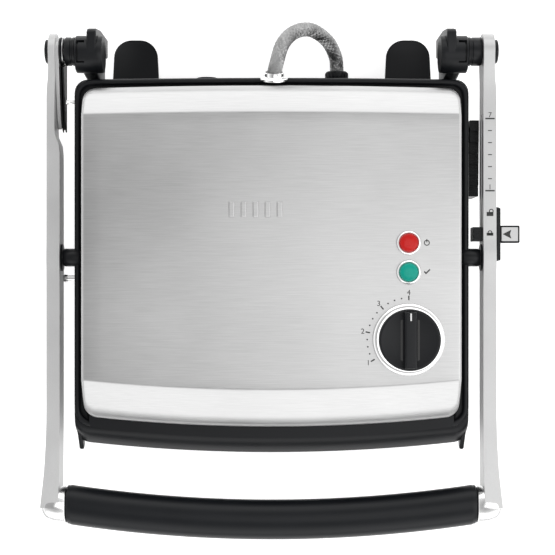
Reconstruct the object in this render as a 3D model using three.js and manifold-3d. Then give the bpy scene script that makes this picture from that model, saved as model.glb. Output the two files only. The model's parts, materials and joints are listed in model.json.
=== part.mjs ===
// A contact grill for pressed sandwiches: a ribbed upper plate hangs in a pair of cast arms and swings up
// from a flat lower plate. Millimetres, +Z up, the handle towards -Y and the hinge towards +Y.
// Each piece is modelled about the lid's centre plane; the last lines move the whole appliance so that the
// origin is at the bottom centre of its box.
import * as THREE from "three";
import { mergeVertices } from "three/addons/utils/BufferGeometryUtils.js";
import Module from "manifold-3d";

const wasm = await Module();
wasm.setup();

// ---- Driving dimensions ------------------------------------------------------------------------------

const seat = 0.3; // gap between pieces that rest on each other
const slip = 0.4; // gap between pieces that slide or turn past each other

// Plan of the lid; every other piece is placed from it.
const lidWidth = 306;
const lidDepth = 282; // rear edge to the front corners
const lidRear = 144; // y of the rear edge
const frontBow = 9; // how far the front edge swells at the middle
const rearBow = 1.5;
const lidCorner = 10;
const lidWall = 3;
const ledgeWidth = 16; // flange inside the lid frame that carries the plate
const beadWidth = 4; // round bead along the frame's outer edge
const visorDepth = 22; // sloped strip ahead of the cover
const cheekWidth = 4.2; // side fins beside the visor
const cheekReach = 7; // how far a fin's tip passes the strip's corner

// Heights, stacked from the table up.
const footHeight = 8;
const shellHeight = 42;
const rimHeight = 9.7;
const lowerPlateProud = 2; // raised lip round the lower plate
const plateGap = 2.4; // between the closed plates
const ribHeight = 4.8;
const frameLift = 6; // lid frame's lower edge above the base rim
const frameHeight = 30;
const upstandHeight = 4; // inner wall above the bead
const coverRise = 28; // crown of the cover above the frame's upstand
const axisDrop = 4; // hinge and pivot axes below the frame's top edge

// Lid cover
const coverInset = 10.1; // cover's edge inside the frame's edge
const coverSheet = 1.2;
const coverRearInset = 9;
const coverRearBow = 3.5;
const coverCorner = 7;
const rearSlope = 22; // plan depth of the rear slope
const rearDrop = 11;
const frontSlope = 30; // plan depth of the front slope
const frontDrop = 17;
const edgeRoll = 5; // plan depth of the rolled edge

// Base
const baseInset = 2.2; // base rim inside the lid's outline
const shellInset = 1.5; // shell inside the base rim's outline
const shellCorner = 12;
const shellWall = 3;
const trimSheet = 1;
const trimLow = 18; // fascia band's lower edge above the shell's bottom
const rimLedge = 9;
const footRadius = 11;
const footFromSide = 34;
const footFromEnd = 30;

// Plates
const plateThickness = 6;
const lipWidth = 5;
const ribPitch = 12;
const ribWidth = 5;
const ribMargin = 9; // plain border round the ribbed field
const drainWidth = 24;
const drainDepth = 10;
const drainFromFront = 16;

// Heating elements, tubes that run round under and over the plates
const tubeRadius = 3.3;
const elementInset = 34;
const elementCorner = 24;
const elementGap = 46; // between the two cold ends
const reflectorSheet = 0.8;

// Drip tray
const trayWidth = 136;
const trayLength = 74;
const trayHeight = 13;
const trayWall = 1.6;
const fasciaThickness = 3;

// Arms, hinge and pivot
const armSideGap = 10.1; // lid frame to arm
const armWidth = 10;
const armHeight = 20;
const armFlare = 4.7; // how far an arm bends outwards at the handle
const flareLength = 80;
const eyeRadius = 15;
const hingeBehindLid = 22;
const pivotFromRear = 138; // lid's rear edge to the pivot axis
const recessDepth = 4; // thinner stretch of the left arm beside the guide plate
const recessReach = 71; // ahead of the hinge axis
const hingePinRadius = 4;
const pivotPinRadius = 3.5;
const runningGap = 0.1;

// Handle
const handleReach = 48.5; // front corners of the lid to the grip's centreline
const gripDepth = 30;
const gripHeight = 26;
const gripBow = 12;
const knuckleLength = 19;
const coreRadius = 7;

// Towers
const towerWidth = 14;
const webSetBack = 4; // web outside the barrel's inner end
const barrelWidth = 21;
const barrelRadius = 14.5;
const towerFromSide = 22.5; // lid's side plane to the tower's inner face
const towerRear = 12; // web behind the hinge axis
const finWidth = 8;
const finSetBack = 3.5;
const finReach = 19.5; // storage fin behind the hinge axis
const finTop = 14.5;
const collarRadius = 11;
const hingeCapRadius = 8.8;
const hingeCapHeight = 2;

// Left guide plate and the lid's two side pins
const guideThickness = 2.4;
const guideLength = 60;
const guideTipHeight = 5;
const guidePinRadius = 1.6;
const guidePinFromHinge = 39;
const stopPinRadius = 2.4;
const stopPinFromPivot = 16;
const sidePinDrop = 6.5; // both pins' axes below the frame's top edge

// Pivot bosses
const bossRadius = 7;
const flangeRadius = 10.5;
const flangeThickness = 0.8;

// Height slider on the right arm, and its stepped ramp
const sliderFromPivot = 18; // carriage centre behind the pivot axis at the lock end
const sliderTravel = 88;
const sliderPlateLength = 42;
const sliderPlateHeight = 16;
const sliderPlateThickness = 3.2;
const buttonWidth = 13.5;
const buttonHeight = 12;
const buttonReach = 15;
const fingerLength = 11;
const fingerFromLid = 2.6;
const bridgeHeight = 5;
const bridgeLength = 9;
const rampSteps = 7;
const rampPitch = 8.4;
const rampStepRise = 2.6;
const rampFromLid = 2.3;
const rampFromArm = 1.3;
const rampFromPivot = 49; // front face behind the pivot axis

// Controls on the cover
const controlsFromSide = 50; // lid's side plane to the column of controls
const dialFromRear = 200; // rear edge to the dial's axis
const dialRadius = 22.4;
const dialHeight = 8;
const dialBarWidth = 10;
const dialBarHeight = 6;
const dialRingWidth = 2;
const dialShaftRadius = 3;
const lampFromRear = 127.5; // rear edge to the power lamp
const lampPitch = 22;
const lampRingRadius = 8.4;
const lensRadius = 5.9;
const lampProud = 2;

// Rear lugs that the mains lead winds round
const lugWidth = 36;
const lugPlate = 4;
const lugHeight = 20;
const lugLift = 2; // stem's underside above the shell's
const lugStemWidth = 15;
const lugStemReach = 20;
const lugFromSide = 41.2;

// Braided lead between the base and the lid
const leadRadius = 5.75;
const leadSides = 12;
const leadSteps = 30;
const glandRadius = 9;
const glandLength = 18;
const leadReach = 27.5; // loop's centreline behind the gland
const grommetRadius = 10.5;
const grommetThickness = 3;
const grommetTilt = 20; // degrees above the horizontal
const grommetFromRear = 2.2; // flange's centre ahead of the lid's rear edge at the middle

// ---- Derived places ----------------------------------------------------------------------------------

const halfLid = lidWidth / 2;
const lidFront = lidRear - lidDepth;
const shellBottom = footHeight;
const shellTop = shellBottom + shellHeight;
const rimTop = shellTop + seat + rimHeight;
const lowerSurface = rimTop; // cooking surface of the lower plate
const frameBottom = rimTop + frameLift;
const frameTop = frameBottom + frameHeight;
const upstandTop = frameTop + upstandHeight;
const coverBase = upstandTop + seat;
const coverTop = coverBase + coverRise;
const upperRibTips = lowerSurface + plateGap;
const upperPlateUnder = upperRibTips + ribHeight;
const axisHeight = frameTop - axisDrop;
const hingeY = lidRear + hingeBehindLid;
const pivotY = lidRear - pivotFromRear;
const armInner = halfLid + armSideGap;
const armOuter = armInner + armWidth;
const gripEndY = lidFront - handleReach;
const knuckleInner = armOuter + armFlare - knuckleLength;
const coreHalf = armOuter + armFlare - 7;

const black = "black_plastic";
const steel = "brushed_steel";

// ---- Solid-making helpers ----------------------------------------------------------------------------

function solidOf(geometry) {
  const bare = new THREE.BufferGeometry();
  bare.setAttribute("position", geometry.getAttribute("position"));
  if (geometry.index) bare.setIndex(geometry.index);
  const merged = mergeVertices(bare, 1e-4);
  return new wasm.Manifold(
    new wasm.Mesh({
      numProp: 3,
      vertProperties: merged.attributes.position.array,
      triVerts: new Uint32Array(merged.index.array),
    }),
  );
}

function geometryOf(solid) {
  const mesh = solid.getMesh();
  const geometry = new THREE.BufferGeometry();
  geometry.setAttribute("position", new THREE.BufferAttribute(mesh.vertProperties, 3));
  geometry.setIndex(new THREE.BufferAttribute(mesh.triVerts, 1));
  geometry.computeVertexNormals();
  return geometry;
}

const join = (...solids) => solids.reduce((whole, next) => whole.add(next));
const cut = (solid, ...tools) => tools.reduce((left, tool) => left.subtract(tool), solid);

function box(x0, x1, y0, y1, z0, z1) {
  const geometry = new THREE.BoxGeometry(Math.abs(x1 - x0), Math.abs(y1 - y0), Math.abs(z1 - z0));
  geometry.translate((x0 + x1) / 2, (y0 + y1) / 2, (z0 + z1) / 2);
  return solidOf(geometry);
}

// A cylinder along X between two planes.
function rodX(radius, x0, x1, y, z, sides = 32) {
  const geometry = new THREE.CylinderGeometry(radius, radius, Math.abs(x1 - x0), sides);
  geometry.rotateZ(Math.PI / 2);
  geometry.translate((x0 + x1) / 2, y, z);
  return solidOf(geometry);
}

// A cylinder along Y between two planes.
function rodY(radius, x, z, y0, y1, sides = 32) {
  const geometry = new THREE.CylinderGeometry(radius, radius, Math.abs(y1 - y0), sides);
  geometry.translate(x, (y0 + y1) / 2, z);
  return solidOf(geometry);
}

// A cylinder along Z between two planes.
function rodZ(radius, x, y, z0, z1, sides = 32) {
  const geometry = new THREE.CylinderGeometry(radius, radius, Math.abs(z1 - z0), sides);
  geometry.rotateX(Math.PI / 2);
  geometry.translate(x, y, (z0 + z1) / 2);
  return solidOf(geometry);
}

// A shape drawn in plan, raised between two heights.
function slab(shape, z0, z1, curveSegments = 10) {
  const geometry = new THREE.ExtrudeGeometry(shape, { depth: z1 - z0, bevelEnabled: false, curveSegments });
  geometry.translate(0, 0, z0);
  return solidOf(geometry);
}

// A shape drawn in side view, its x along Y and its y along Z, spread along X.
function sideSlab(shape, x0, x1, curveSegments = 10) {
  const depth = Math.abs(x1 - x0);
  const geometry = new THREE.ExtrudeGeometry(shape, { depth, bevelEnabled: false, curveSegments });
  const toSide = new THREE.Matrix4().makeBasis(
    new THREE.Vector3(0, 1, 0),
    new THREE.Vector3(0, 0, 1),
    new THREE.Vector3(1, 0, 0),
  );
  geometry.applyMatrix4(toSide).translate(Math.min(x0, x1), 0, 0);
  return solidOf(geometry);
}

// A rounded rectangle whose rear and front edges swell in the middle.
function bowedOutline(half, rear, front, corner, swellRear, swellFront) {
  const shape = new THREE.Shape();
  shape.moveTo(half, front + corner);
  shape.lineTo(half, rear - corner);
  shape.absarc(half - corner, rear - corner, corner, 0, Math.PI / 2, false);
  shape.quadraticCurveTo(0, rear + 2 * swellRear, corner - half, rear);
  shape.absarc(corner - half, rear - corner, corner, Math.PI / 2, Math.PI, false);
  shape.lineTo(-half, front + corner);
  shape.absarc(corner - half, front + corner, corner, Math.PI, 1.5 * Math.PI, false);
  shape.quadraticCurveTo(0, front - 2 * swellFront, half - corner, front);
  shape.absarc(half - corner, front + corner, corner, 1.5 * Math.PI, 2 * Math.PI, false);
  return shape;
}

// The lid's outline drawn in by a distance.
function lidOutline(inset, corner = Math.max(lidCorner - inset, 3)) {
  return bowedOutline(halfLid - inset, lidRear - inset, lidFront + inset, corner, rearBow, frontBow);
}

// The base keeps the same plan with a straight rear edge, so that towers and lugs bolt to a flat wall.
function baseOutline(inset, corner = Math.max(lidCorner - inset, 3)) {
  return bowedOutline(halfLid - inset, lidRear - inset, lidFront + inset, corner, 0, frontBow);
}

function polygon(points) {
  return new THREE.Shape(points.map(([x, y]) => new THREE.Vector2(x, y)));
}

// A round tube of a few sides along a curve.
function tube(curve, radius, sides, steps) {
  const section = new THREE.Shape();
  for (let i = 0; i < sides; i++) {
    const angle = (2 * Math.PI * i) / sides;
    const point = [radius * Math.cos(angle), radius * Math.sin(angle)];
    if (i === 0) section.moveTo(...point);
    else section.lineTo(...point);
  }
  section.closePath();
  return solidOf(new THREE.ExtrudeGeometry(section, { steps, extrudePath: curve, bevelEnabled: false }));
}

// ---- Finishes ----------------------------------------------------------------------------------------

const finish = (color, roughness, metalness) =>
  new THREE.MeshStandardMaterial({ color, roughness, metalness });
const finishes = {
  brushed_steel: finish(0xc9cac8, 0.32, 1),
  cast_alloy: finish(0xd6d6d4, 0.38, 1),
  chrome: finish(0xe8e8e8, 0.08, 1),
  black_plastic: finish(0x1a1b1d, 0.45, 0),
  soft_grip: finish(0x16181b, 0.6, 0),
  nonstick: finish(0x1c1c1c, 0.5, 0.2),
  rubber: finish(0x0f0f10, 0.85, 0),
  bright_steel: finish(0xa9abad, 0.3, 1),
  element_alloy: finish(0x55504a, 0.55, 0.8),
  braided_steel: finish(0x9b9b98, 0.4, 0.9),
  red_lens: finish(0xc81e1c, 0.2, 0),
  green_lens: finish(0x1fa38c, 0.2, 0),
  ceramic_white: finish(0xe6e1d5, 0.5, 0),
};

const appliance = new THREE.Group();

function newGroup(parent, x = 0, y = 0, z = 0) {
  const group = new THREE.Group();
  group.position.set(x, y, z);
  parent.add(group);
  return group;
}

const base = newGroup(appliance);
const arms = newGroup(appliance);
const slider = newGroup(appliance);
const lid = newGroup(appliance);
const tray = newGroup(appliance);

function addPart(group, name, finishName, solid) {
  const mesh = new THREE.Mesh(geometryOf(solid), finishes[finishName]);
  mesh.name = name;
  group.add(mesh);
  return mesh;
}

const sides = [
  ["left", -1],
  ["right", 1],
];

// ---- Base --------------------------------------------------------------------------------------------

const rimInset = baseInset;
const shellOutline = rimInset + shellInset;
const rearWallY = lidRear - shellOutline;
const frontWallY = lidFront + shellOutline - frontBow; // at the middle
const trayFloor = shellBottom + shellWall + slip;
const trayTop = trayFloor + trayHeight;
const trayHalf = trayWidth / 2;
const chuteY = lidFront + drainFromFront;
const storagePlane = hingeY + finReach; // towers and lugs end here, so the appliance can stand on its rear
const lugReach = storagePlane - rearWallY - seat;
const leadExit = new THREE.Vector3(53, rearWallY + glandLength + seat, shellBottom + 30);
const inletX = -leadExit.x;

// Cutter for the tray's mouth and its runway through the shell's front wall.
function trayMouth() {
  const mouthRear = frontWallY + trayLength + 2 * slip;
  return box(-trayHalf - slip, trayHalf + slip, frontWallY - 9, mouthRear, trayFloor - slip, trayTop + slip);
}

function makeBase() {
  const outer = slab(baseOutline(shellOutline, shellCorner), shellBottom, shellTop);
  const hollow = slab(
    baseOutline(shellOutline + shellWall, shellCorner), shellBottom + shellWall, shellTop + 1,
  );
  const leadHole = rodY(leadRadius + slip, leadExit.x, leadExit.z, rearWallY - 6, rearWallY + 6);
  const inletHole = rodY(leadRadius + slip, inletX, leadExit.z, rearWallY - 6, rearWallY + 6);
  addPart(base, "base_shell", black, cut(outer, hollow, leadHole, inletHole, trayMouth()));

  const bandLow = shellBottom + trimLow;
  const band = slab(baseOutline(shellOutline - trimSheet - seat, shellCorner), bandLow, shellTop - 1);
  const bandHole = slab(baseOutline(shellOutline - seat, shellCorner), bandLow - 1, shellTop);
  const openRear = box(-halfLid, halfLid, rearWallY - shellCorner, lidRear + 9, bandLow - 1, shellTop);
  addPart(base, "base_trim_band", steel, cut(band, bandHole, openRear));

  const rim = slab(baseOutline(rimInset), shellTop + seat, rimTop);
  const rimHole = slab(baseOutline(rimInset + rimLedge), shellTop, rimTop + 1);
  addPart(base, "base_rim", black, cut(rim, rimHole));

  for (const [name, x, y] of footPlaces()) {
    const foot = solidOf(new THREE.CylinderGeometry(footRadius, footRadius - 1.5, footHeight - seat, 24));
    const mesh = addPart(base, name, "rubber", foot);
    mesh.rotation.x = Math.PI / 2;
    mesh.position.set(x, y, (footHeight - seat) / 2);
  }
}

function footPlaces() {
  const x = halfLid - footFromSide;
  const front = lidFront + footFromEnd;
  const rear = lidRear - footFromEnd;
  return [
    ["foot_front_left", -x, front],
    ["foot_front_right", x, front],
    ["foot_rear_left", -x, rear],
    ["foot_rear_right", x, rear],
  ];
}

function makeLowerPlate() {
  const inset = rimInset + rimLedge + seat;
  const body = slab(baseOutline(inset), lowerSurface - plateThickness, lowerSurface + lowerPlateProud);
  const dish = slab(baseOutline(inset + lipWidth), lowerSurface, lowerSurface + lowerPlateProud + 1);
  const half = drainWidth / 2;
  const notch = box(-half, half, lidFront - 20, chuteY + drainDepth, lowerSurface - 10, lowerSurface + 4);
  addPart(base, "lower_grill_plate", "nonstick", cut(cut(body, dish), notch));

  // A short duct under the notch leads the fat down to the tray.
  const duct = (wall, low, high) =>
    box(-half - wall, half + wall, chuteY - wall, chuteY + drainDepth + wall, low, high);
  const ductTop = lowerSurface - plateThickness - seat;
  const ductLow = trayTop + 2;
  addPart(base, "drain_duct", black, cut(duct(2, ductLow, ductTop), duct(0, ductLow - 1, ductTop + 1)));
}

// A tube that runs round the plate and leaves a gap at the rear for its two cold ends.
function elementSolid(height) {
  const x = halfLid - elementInset;
  const rear = lidRear - elementInset;
  const front = lidFront + elementInset;
  const r = elementCorner;
  const at = (px, py) => new THREE.Vector3(px, py, height);
  const path = new THREE.CurvePath();
  path.add(new THREE.LineCurve3(at(elementGap / 2, rear), at(x - r, rear)));
  path.add(new THREE.QuadraticBezierCurve3(at(x - r, rear), at(x, rear), at(x, rear - r)));
  path.add(new THREE.LineCurve3(at(x, rear - r), at(x, front + r)));
  path.add(new THREE.QuadraticBezierCurve3(at(x, front + r), at(x, front), at(x - r, front)));
  path.add(new THREE.LineCurve3(at(x - r, front), at(r - x, front)));
  path.add(new THREE.QuadraticBezierCurve3(at(r - x, front), at(-x, front), at(-x, front + r)));
  path.add(new THREE.LineCurve3(at(-x, front + r), at(-x, rear - r)));
  path.add(new THREE.QuadraticBezierCurve3(at(-x, rear - r), at(-x, rear), at(r - x, rear)));
  path.add(new THREE.LineCurve3(at(r - x, rear), at(-elementGap / 2, rear)));
  return tube(path, tubeRadius, 8, 44);
}

function makeBaseInside() {
  const elementHeight = lowerSurface - plateThickness - seat - tubeRadius;
  addPart(base, "lower_heating_element", "element_alloy", elementSolid(elementHeight));

  const sheetTop = elementHeight - tubeRadius - 2;
  const chuteHole = box(-drainWidth, drainWidth, chuteY - 9, chuteY + drainDepth + 5, 0, sheetTop + 9);
  const sheet = slab(
    baseOutline(shellOutline + shellWall + seat, shellCorner), sheetTop - reflectorSheet, sheetTop,
  );
  addPart(base, "lower_heat_reflector", "bright_steel", cut(sheet, chuteHole));

  const blockLow = shellBottom + shellWall + seat;
  const block = box(-18, 18, rearWallY - 40, rearWallY - 18, blockLow, blockLow + 14);
  const slots = [-9, 0, 9].map((x) =>
    box(x - 2.5, x + 2.5, rearWallY - 42, rearWallY - 16, blockLow + 8, blockLow + 16),
  );
  addPart(base, "terminal_block", "ceramic_white", cut(block, ...slots));
}

// A collar on the rear wall that a lead passes through.
function makeGland(name, x, length) {
  const rear = rearWallY + seat;
  const collar = rodY(glandRadius, x, leadExit.z, rear, rear + length);
  const nut = rodY(glandRadius + 2, x, leadExit.z, rear, rear + 4, 6);
  const bore = rodY(leadRadius + slip, x, leadExit.z, rear - 1, rear + length + 1);
  addPart(base, name, black, cut(join(collar, nut), bore));
}

// Rounded plan of a rear lug, its root at y = 0.
function lugShape(width, reach) {
  const half = width / 2;
  const radius = half * 0.72;
  const shape = new THREE.Shape();
  shape.moveTo(-half - 1.5, 0);
  shape.lineTo(half + 1.5, 0);
  shape.lineTo(half, reach - radius);
  shape.absarc(half - radius, reach - radius, radius, 0, Math.PI / 2, false);
  shape.lineTo(radius - half, reach);
  shape.absarc(radius - half, reach - radius, radius, Math.PI / 2, Math.PI, false);
  return shape;
}

function makeLugs() {
  for (const [side, sign] of sides) {
    const plate = slab(lugShape(lugWidth, lugReach), lugHeight, lugHeight + lugPlate);
    const stem = slab(lugShape(lugStemWidth, lugStemReach), 0, lugHeight + 1);
    const mesh = addPart(base, `cord_lug_${side}`, black, join(plate, stem));
    mesh.position.set(sign * (halfLid - lugFromSide), rearWallY + seat, shellBottom + lugLift);
  }
}

makeBase();
makeLowerPlate();
makeBaseInside();
makeGland("lead_gland", leadExit.x, glandLength);
makeGland("mains_inlet_gland", inletX, glandLength - 5);
makeLugs();

// ---- Drip tray ---------------------------------------------------------------------------------------

function makeTray() {
  const rear = frontWallY + trayLength;
  const block = box(-trayHalf, trayHalf, frontWallY - 9, rear, trayFloor, trayTop);
  const trimmed = block.intersect(
    slab(baseOutline(shellOutline, shellCorner), trayFloor - 1, trayTop + 1, 24),
  );
  const well = box(
    trayWall - trayHalf,
    trayHalf - trayWall,
    lidFront + shellOutline + fasciaThickness,
    rear - trayWall,
    trayFloor + trayWall,
    trayTop + 1,
  );
  const pull = rodX(5, -22, 22, frontWallY - 2, trayFloor, 20);
  addPart(tray, "drip_tray", black, cut(trimmed, well, pull));
}

makeTray();

// ---- Towers, hinge pins and guide plate --------------------------------------------------------------

const towerInner = halfLid - towerFromSide;
const collarInner = towerInner + barrelWidth;
const collarOuter = armInner - slip;

function makeTower(side, sign) {
  const xs = (a, b) => [sign * a, sign * b].sort((p, q) => p - q);
  const low = shellBottom + lugLift + lugHeight + lugPlate + seat;
  const barrel = rodX(barrelRadius, ...xs(towerInner, collarInner), hingeY, axisHeight);
  const webShape = polygon([
    [rearWallY + seat, low],
    [hingeY + towerRear, low],
    [hingeY + barrelRadius, axisHeight],
    [hingeY - barrelRadius, axisHeight],
    [lidRear + 3, frameBottom - 4],
    [lidRear - rimInset + 2 * seat, shellTop],
    [rearWallY + seat, shellTop - 2],
  ]);
  const web = sideSlab(webShape, ...xs(towerInner + webSetBack, towerInner + webSetBack + towerWidth));
  const finShape = polygon([
    [hingeY, low],
    [storagePlane, low],
    [storagePlane, axisHeight + finTop - 4],
    [storagePlane - 3, axisHeight + finTop],
    [hingeY - 4, axisHeight + finTop],
  ]);
  const finInner = towerInner + finSetBack;
  const fin = sideSlab(finShape, ...xs(finInner, finInner + finWidth));
  const bore = rodX(hingePinRadius + runningGap, ...xs(towerInner + 5, armOuter), hingeY, axisHeight, 24);
  addPart(base, `hinge_tower_${side}`, black, cut(join(barrel, web, fin), bore));

  const collarEnd = side === "left" ? armInner + recessDepth - slip - guideThickness - slip : collarOuter;
  const collar = rodX(collarRadius, ...xs(collarInner + seat, collarEnd), hingeY, axisHeight);
  addPart(base, `hinge_collar_${side}`, black, cut(collar, bore));

  const pinEnd = armOuter - 1;
  const pin = rodX(hingePinRadius, ...xs(towerInner + 5 + seat, pinEnd), hingeY, axisHeight, 24);
  addPart(base, `hinge_pin_${side}`, "bright_steel", pin);
}

// A blade on the left hinge that reaches forward beside the arm, under the lid's rear pin.
function makeGuidePlate() {
  const outer = -(armInner + recessDepth - slip);
  const shape = new THREE.Shape();
  shape.absarc(hingeY, axisHeight, collarRadius, -0.5 * Math.PI, 0.5 * Math.PI, false);
  shape.lineTo(hingeY - guideLength, axisHeight - collarRadius + guideTipHeight);
  shape.lineTo(hingeY - guideLength, axisHeight - collarRadius);
  const plate = sideSlab(shape, outer, outer + guideThickness, 16);
  const bore = rodX(
    hingePinRadius + runningGap, outer - 1, outer + guideThickness + 1, hingeY, axisHeight, 24,
  );
  addPart(base, "left_guide_plate", "bright_steel", cut(plate, bore));
}

// Steps that rise towards the hinge, on a bracket bolted to the base's right side.
function makeRamp() {
  const inner = halfLid + rampFromLid;
  const outer = armInner - rampFromArm;
  const front = pivotY + rampFromPivot;
  const top = axisHeight - sliderPlateHeight / 2 - slip;
  const rear = front + rampSteps * rampPitch;
  const steps = [];
  for (let i = 0; i < rampSteps; i++) {
    const stepTop = top - (rampSteps - 1 - i) * rampStepRise;
    const y = front + i * rampPitch;
    steps.push(box(inner, outer, y, Math.min(y + rampPitch + 1, rear), shellBottom + 24, stepTop));
  }
  const bracket = box(
    halfLid - shellOutline + trimSheet + 2 * seat, inner + 2, front, rear, shellBottom + 24, shellTop - 4,
  );
  addPart(base, "height_ramp", black, join(...steps, bracket));
}

for (const [side, sign] of sides) makeTower(side, sign);
makeGuidePlate();
makeRamp();

// ---- Arms and handle ---------------------------------------------------------------------------------

// Plan of the right arm from the hinge to the handle; it bends outwards at the front.
function armPlan() {
  const bend = gripEndY + flareLength;
  const shape = new THREE.Shape();
  shape.moveTo(armInner, hingeY);
  shape.lineTo(armInner, bend);
  shape.quadraticCurveTo(armInner, (bend + gripEndY) / 2, armInner + armFlare, gripEndY);
  shape.lineTo(armOuter + armFlare, gripEndY);
  shape.quadraticCurveTo(armOuter, (bend + gripEndY) / 2, armOuter, bend);
  shape.lineTo(armOuter, hingeY);
  return shape;
}

const mirrorX = (solid) => solid.mirror([1, 0, 0]);

function armSolid() {
  const low = axisHeight - armHeight / 2;
  const beam = slab(armPlan(), low, low + armHeight, 8);
  const eye = rodX(eyeRadius, armInner, armOuter, hingeY, axisHeight, 40);
  const lug = rodX(flangeRadius + 1, armInner, armOuter, pivotY, axisHeight, 32);
  const knuckle = knuckleSolid();
  const hingeBore = rodX(hingePinRadius + runningGap, armInner - 1, armOuter - 0.5, hingeY, axisHeight, 24);
  const pivotBore = rodX(pivotPinRadius + runningGap, armInner - 1, armOuter - 2, pivotY, axisHeight, 24);
  const coreSocket = corePath(coreRadius + seat, coreHalf + seat);
  return cut(join(beam, eye, lug, knuckle), hingeBore, pivotBore, coreSocket);
}

// An oval block that turns the arm's end into the grip.
function knuckleSolid() {
  const section = new THREE.Shape();
  section.absellipse(gripEndY, axisHeight, gripDepth / 2, gripHeight / 2, 0, 2 * Math.PI, false);
  return sideSlab(section, knuckleInner, armOuter + armFlare, 16);
}

// Centreline of the grip, bowed towards the front.
function gripCurve(half) {
  const ends = gripEndY;
  const bow = (gripBow * half * half) / (knuckleInner * knuckleInner);
  return new THREE.QuadraticBezierCurve3(
    new THREE.Vector3(-half, ends - gripBow + bow, axisHeight),
    new THREE.Vector3(0, ends - gripBow - bow, axisHeight),
    new THREE.Vector3(half, ends - gripBow + bow, axisHeight),
  );
}

function corePath(radius, length) {
  return tube(gripCurve(length), radius, 16, 20);
}

function makeArms() {
  const slotLow = axisHeight - bridgeHeight / 2 - slip;
  const slotFront = pivotY + sliderFromPivot - bridgeLength / 2 - slip;
  const slotRear = slotFront + sliderTravel + bridgeLength + 2 * slip;
  const slot = box(
    armInner - 1, armOuter + 1, slotFront, slotRear, slotLow, slotLow + bridgeHeight + 2 * slip,
  );
  const recess = box(-armInner - recessDepth, 0, hingeY - recessReach, hingeY + 30, 0, 2 * axisHeight);
  addPart(arms, "left_arm", "cast_alloy", cut(mirrorX(armSolid()), recess));
  addPart(arms, "right_arm", "cast_alloy", cut(armSolid(), slot));

  const section = new THREE.Shape();
  section.absellipse(0, 0, gripHeight / 2, gripDepth / 2, 0, 2 * Math.PI, false);
  const blank = solidOf(
    new THREE.ExtrudeGeometry(section, {
      steps: 20,
      extrudePath: gripCurve(knuckleInner + 6),
      bevelEnabled: false,
      curveSegments: 12,
    }),
  );
  const end = knuckleInner - seat;
  const window = box(-end, end, gripEndY - 60, gripEndY + 60, 0, 2 * axisHeight);
  addPart(arms, "grip", "soft_grip", cut(blank.intersect(window), corePath(coreRadius + seat, coreHalf)));
  addPart(arms, "handle_core", "bright_steel", corePath(coreRadius, coreHalf));

  for (const [side, sign] of sides) {
    const capX = [sign * (armOuter + seat), sign * (armOuter + seat + hingeCapHeight)].sort((a, b) => a - b);
    addPart(arms, `hinge_cap_${side}`, black, rodX(hingeCapRadius, ...capX, hingeY, axisHeight));
    const flangeX = [sign * (armInner - seat), sign * (armInner - seat - flangeThickness)].sort(
      (a, b) => a - b,
    );
    const flange = rodX(flangeRadius, ...flangeX, pivotY, axisHeight);
    const hole = rodX(pivotPinRadius + runningGap, flangeX[0] - 1, flangeX[1] + 1, pivotY, axisHeight, 24);
    addPart(arms, `pivot_washer_${side}`, black, cut(flange, hole));
  }
}

makeArms();

// ---- Height slider -----------------------------------------------------------------------------------

function makeSlider() {
  const y = pivotY + sliderFromPivot;
  const plateX = armOuter + slip;
  const buttonX = plateX + sliderPlateThickness + seat;
  const halfPlate = sliderPlateLength / 2;
  const low = axisHeight - sliderPlateHeight / 2;
  const bridgeX = [armInner - slip - 2, plateX + 1];
  const bridgeZ = [axisHeight - bridgeHeight / 2, axisHeight + bridgeHeight / 2];
  const halfBridge = bridgeLength / 2;
  const bridge = box(...bridgeX, y - halfBridge, y + halfBridge, ...bridgeZ);
  const socket = box(
    bridgeX[0], plateX + 1 + seat, y - halfBridge - seat,
    y + halfBridge + seat, bridgeZ[0] - seat, bridgeZ[1] + seat,
  );
  const plate = box(
    plateX, plateX + sliderPlateThickness, y - halfPlate, y + halfPlate, low, low + sliderPlateHeight,
  );
  addPart(slider, "slider_plate", black, cut(plate, socket));
  addPart(slider, "slider_bridge", "bright_steel", bridge);

  const halfButton = buttonWidth / 2;
  const buttonLow = axisHeight - buttonHeight / 2;
  const button = box(
    buttonX, buttonX + buttonReach, y - halfButton, y + halfButton, buttonLow, buttonLow + buttonHeight,
  );
  addPart(slider, "slider_button", "cast_alloy", button);

  const fingerX = halfLid + fingerFromLid;
  const halfFinger = fingerLength / 2;
  const finger = box(
    fingerX, armInner - slip, y - halfFinger, y + halfFinger, low, low + sliderPlateHeight,
  );
  const fingerSocket = box(
    bridgeX[0] - seat, armInner, y - halfBridge - seat,
    y + halfBridge + seat, bridgeZ[0] - seat, bridgeZ[1] + seat,
  );
  addPart(slider, "slider_finger", black, cut(finger, fingerSocket));
}

makeSlider();

// ---- Lid ---------------------------------------------------------------------------------------------

const coverRear = lidRear - coverRearInset;
const coverFront = lidFront + visorDepth - frontBow / 4;
const controlsX = halfLid - controlsFromSide;
const dialY = lidRear - dialFromRear;
const lampPlaces = [
  ["power", lidRear - lampFromRear, "red_lens"],
  ["ready", lidRear - lampFromRear - lampPitch, "green_lens"],
];
const grommetX = 2;
const grommetPlace = { y: lidRear + rearBow - grommetFromRear, z: upstandTop + 4 };

function coverOutline(inset) {
  const half = halfLid - coverInset - inset;
  return bowedOutline(half, coverRear - inset, coverFront + inset, coverCorner, coverRearBow, frontBow);
}

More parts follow.
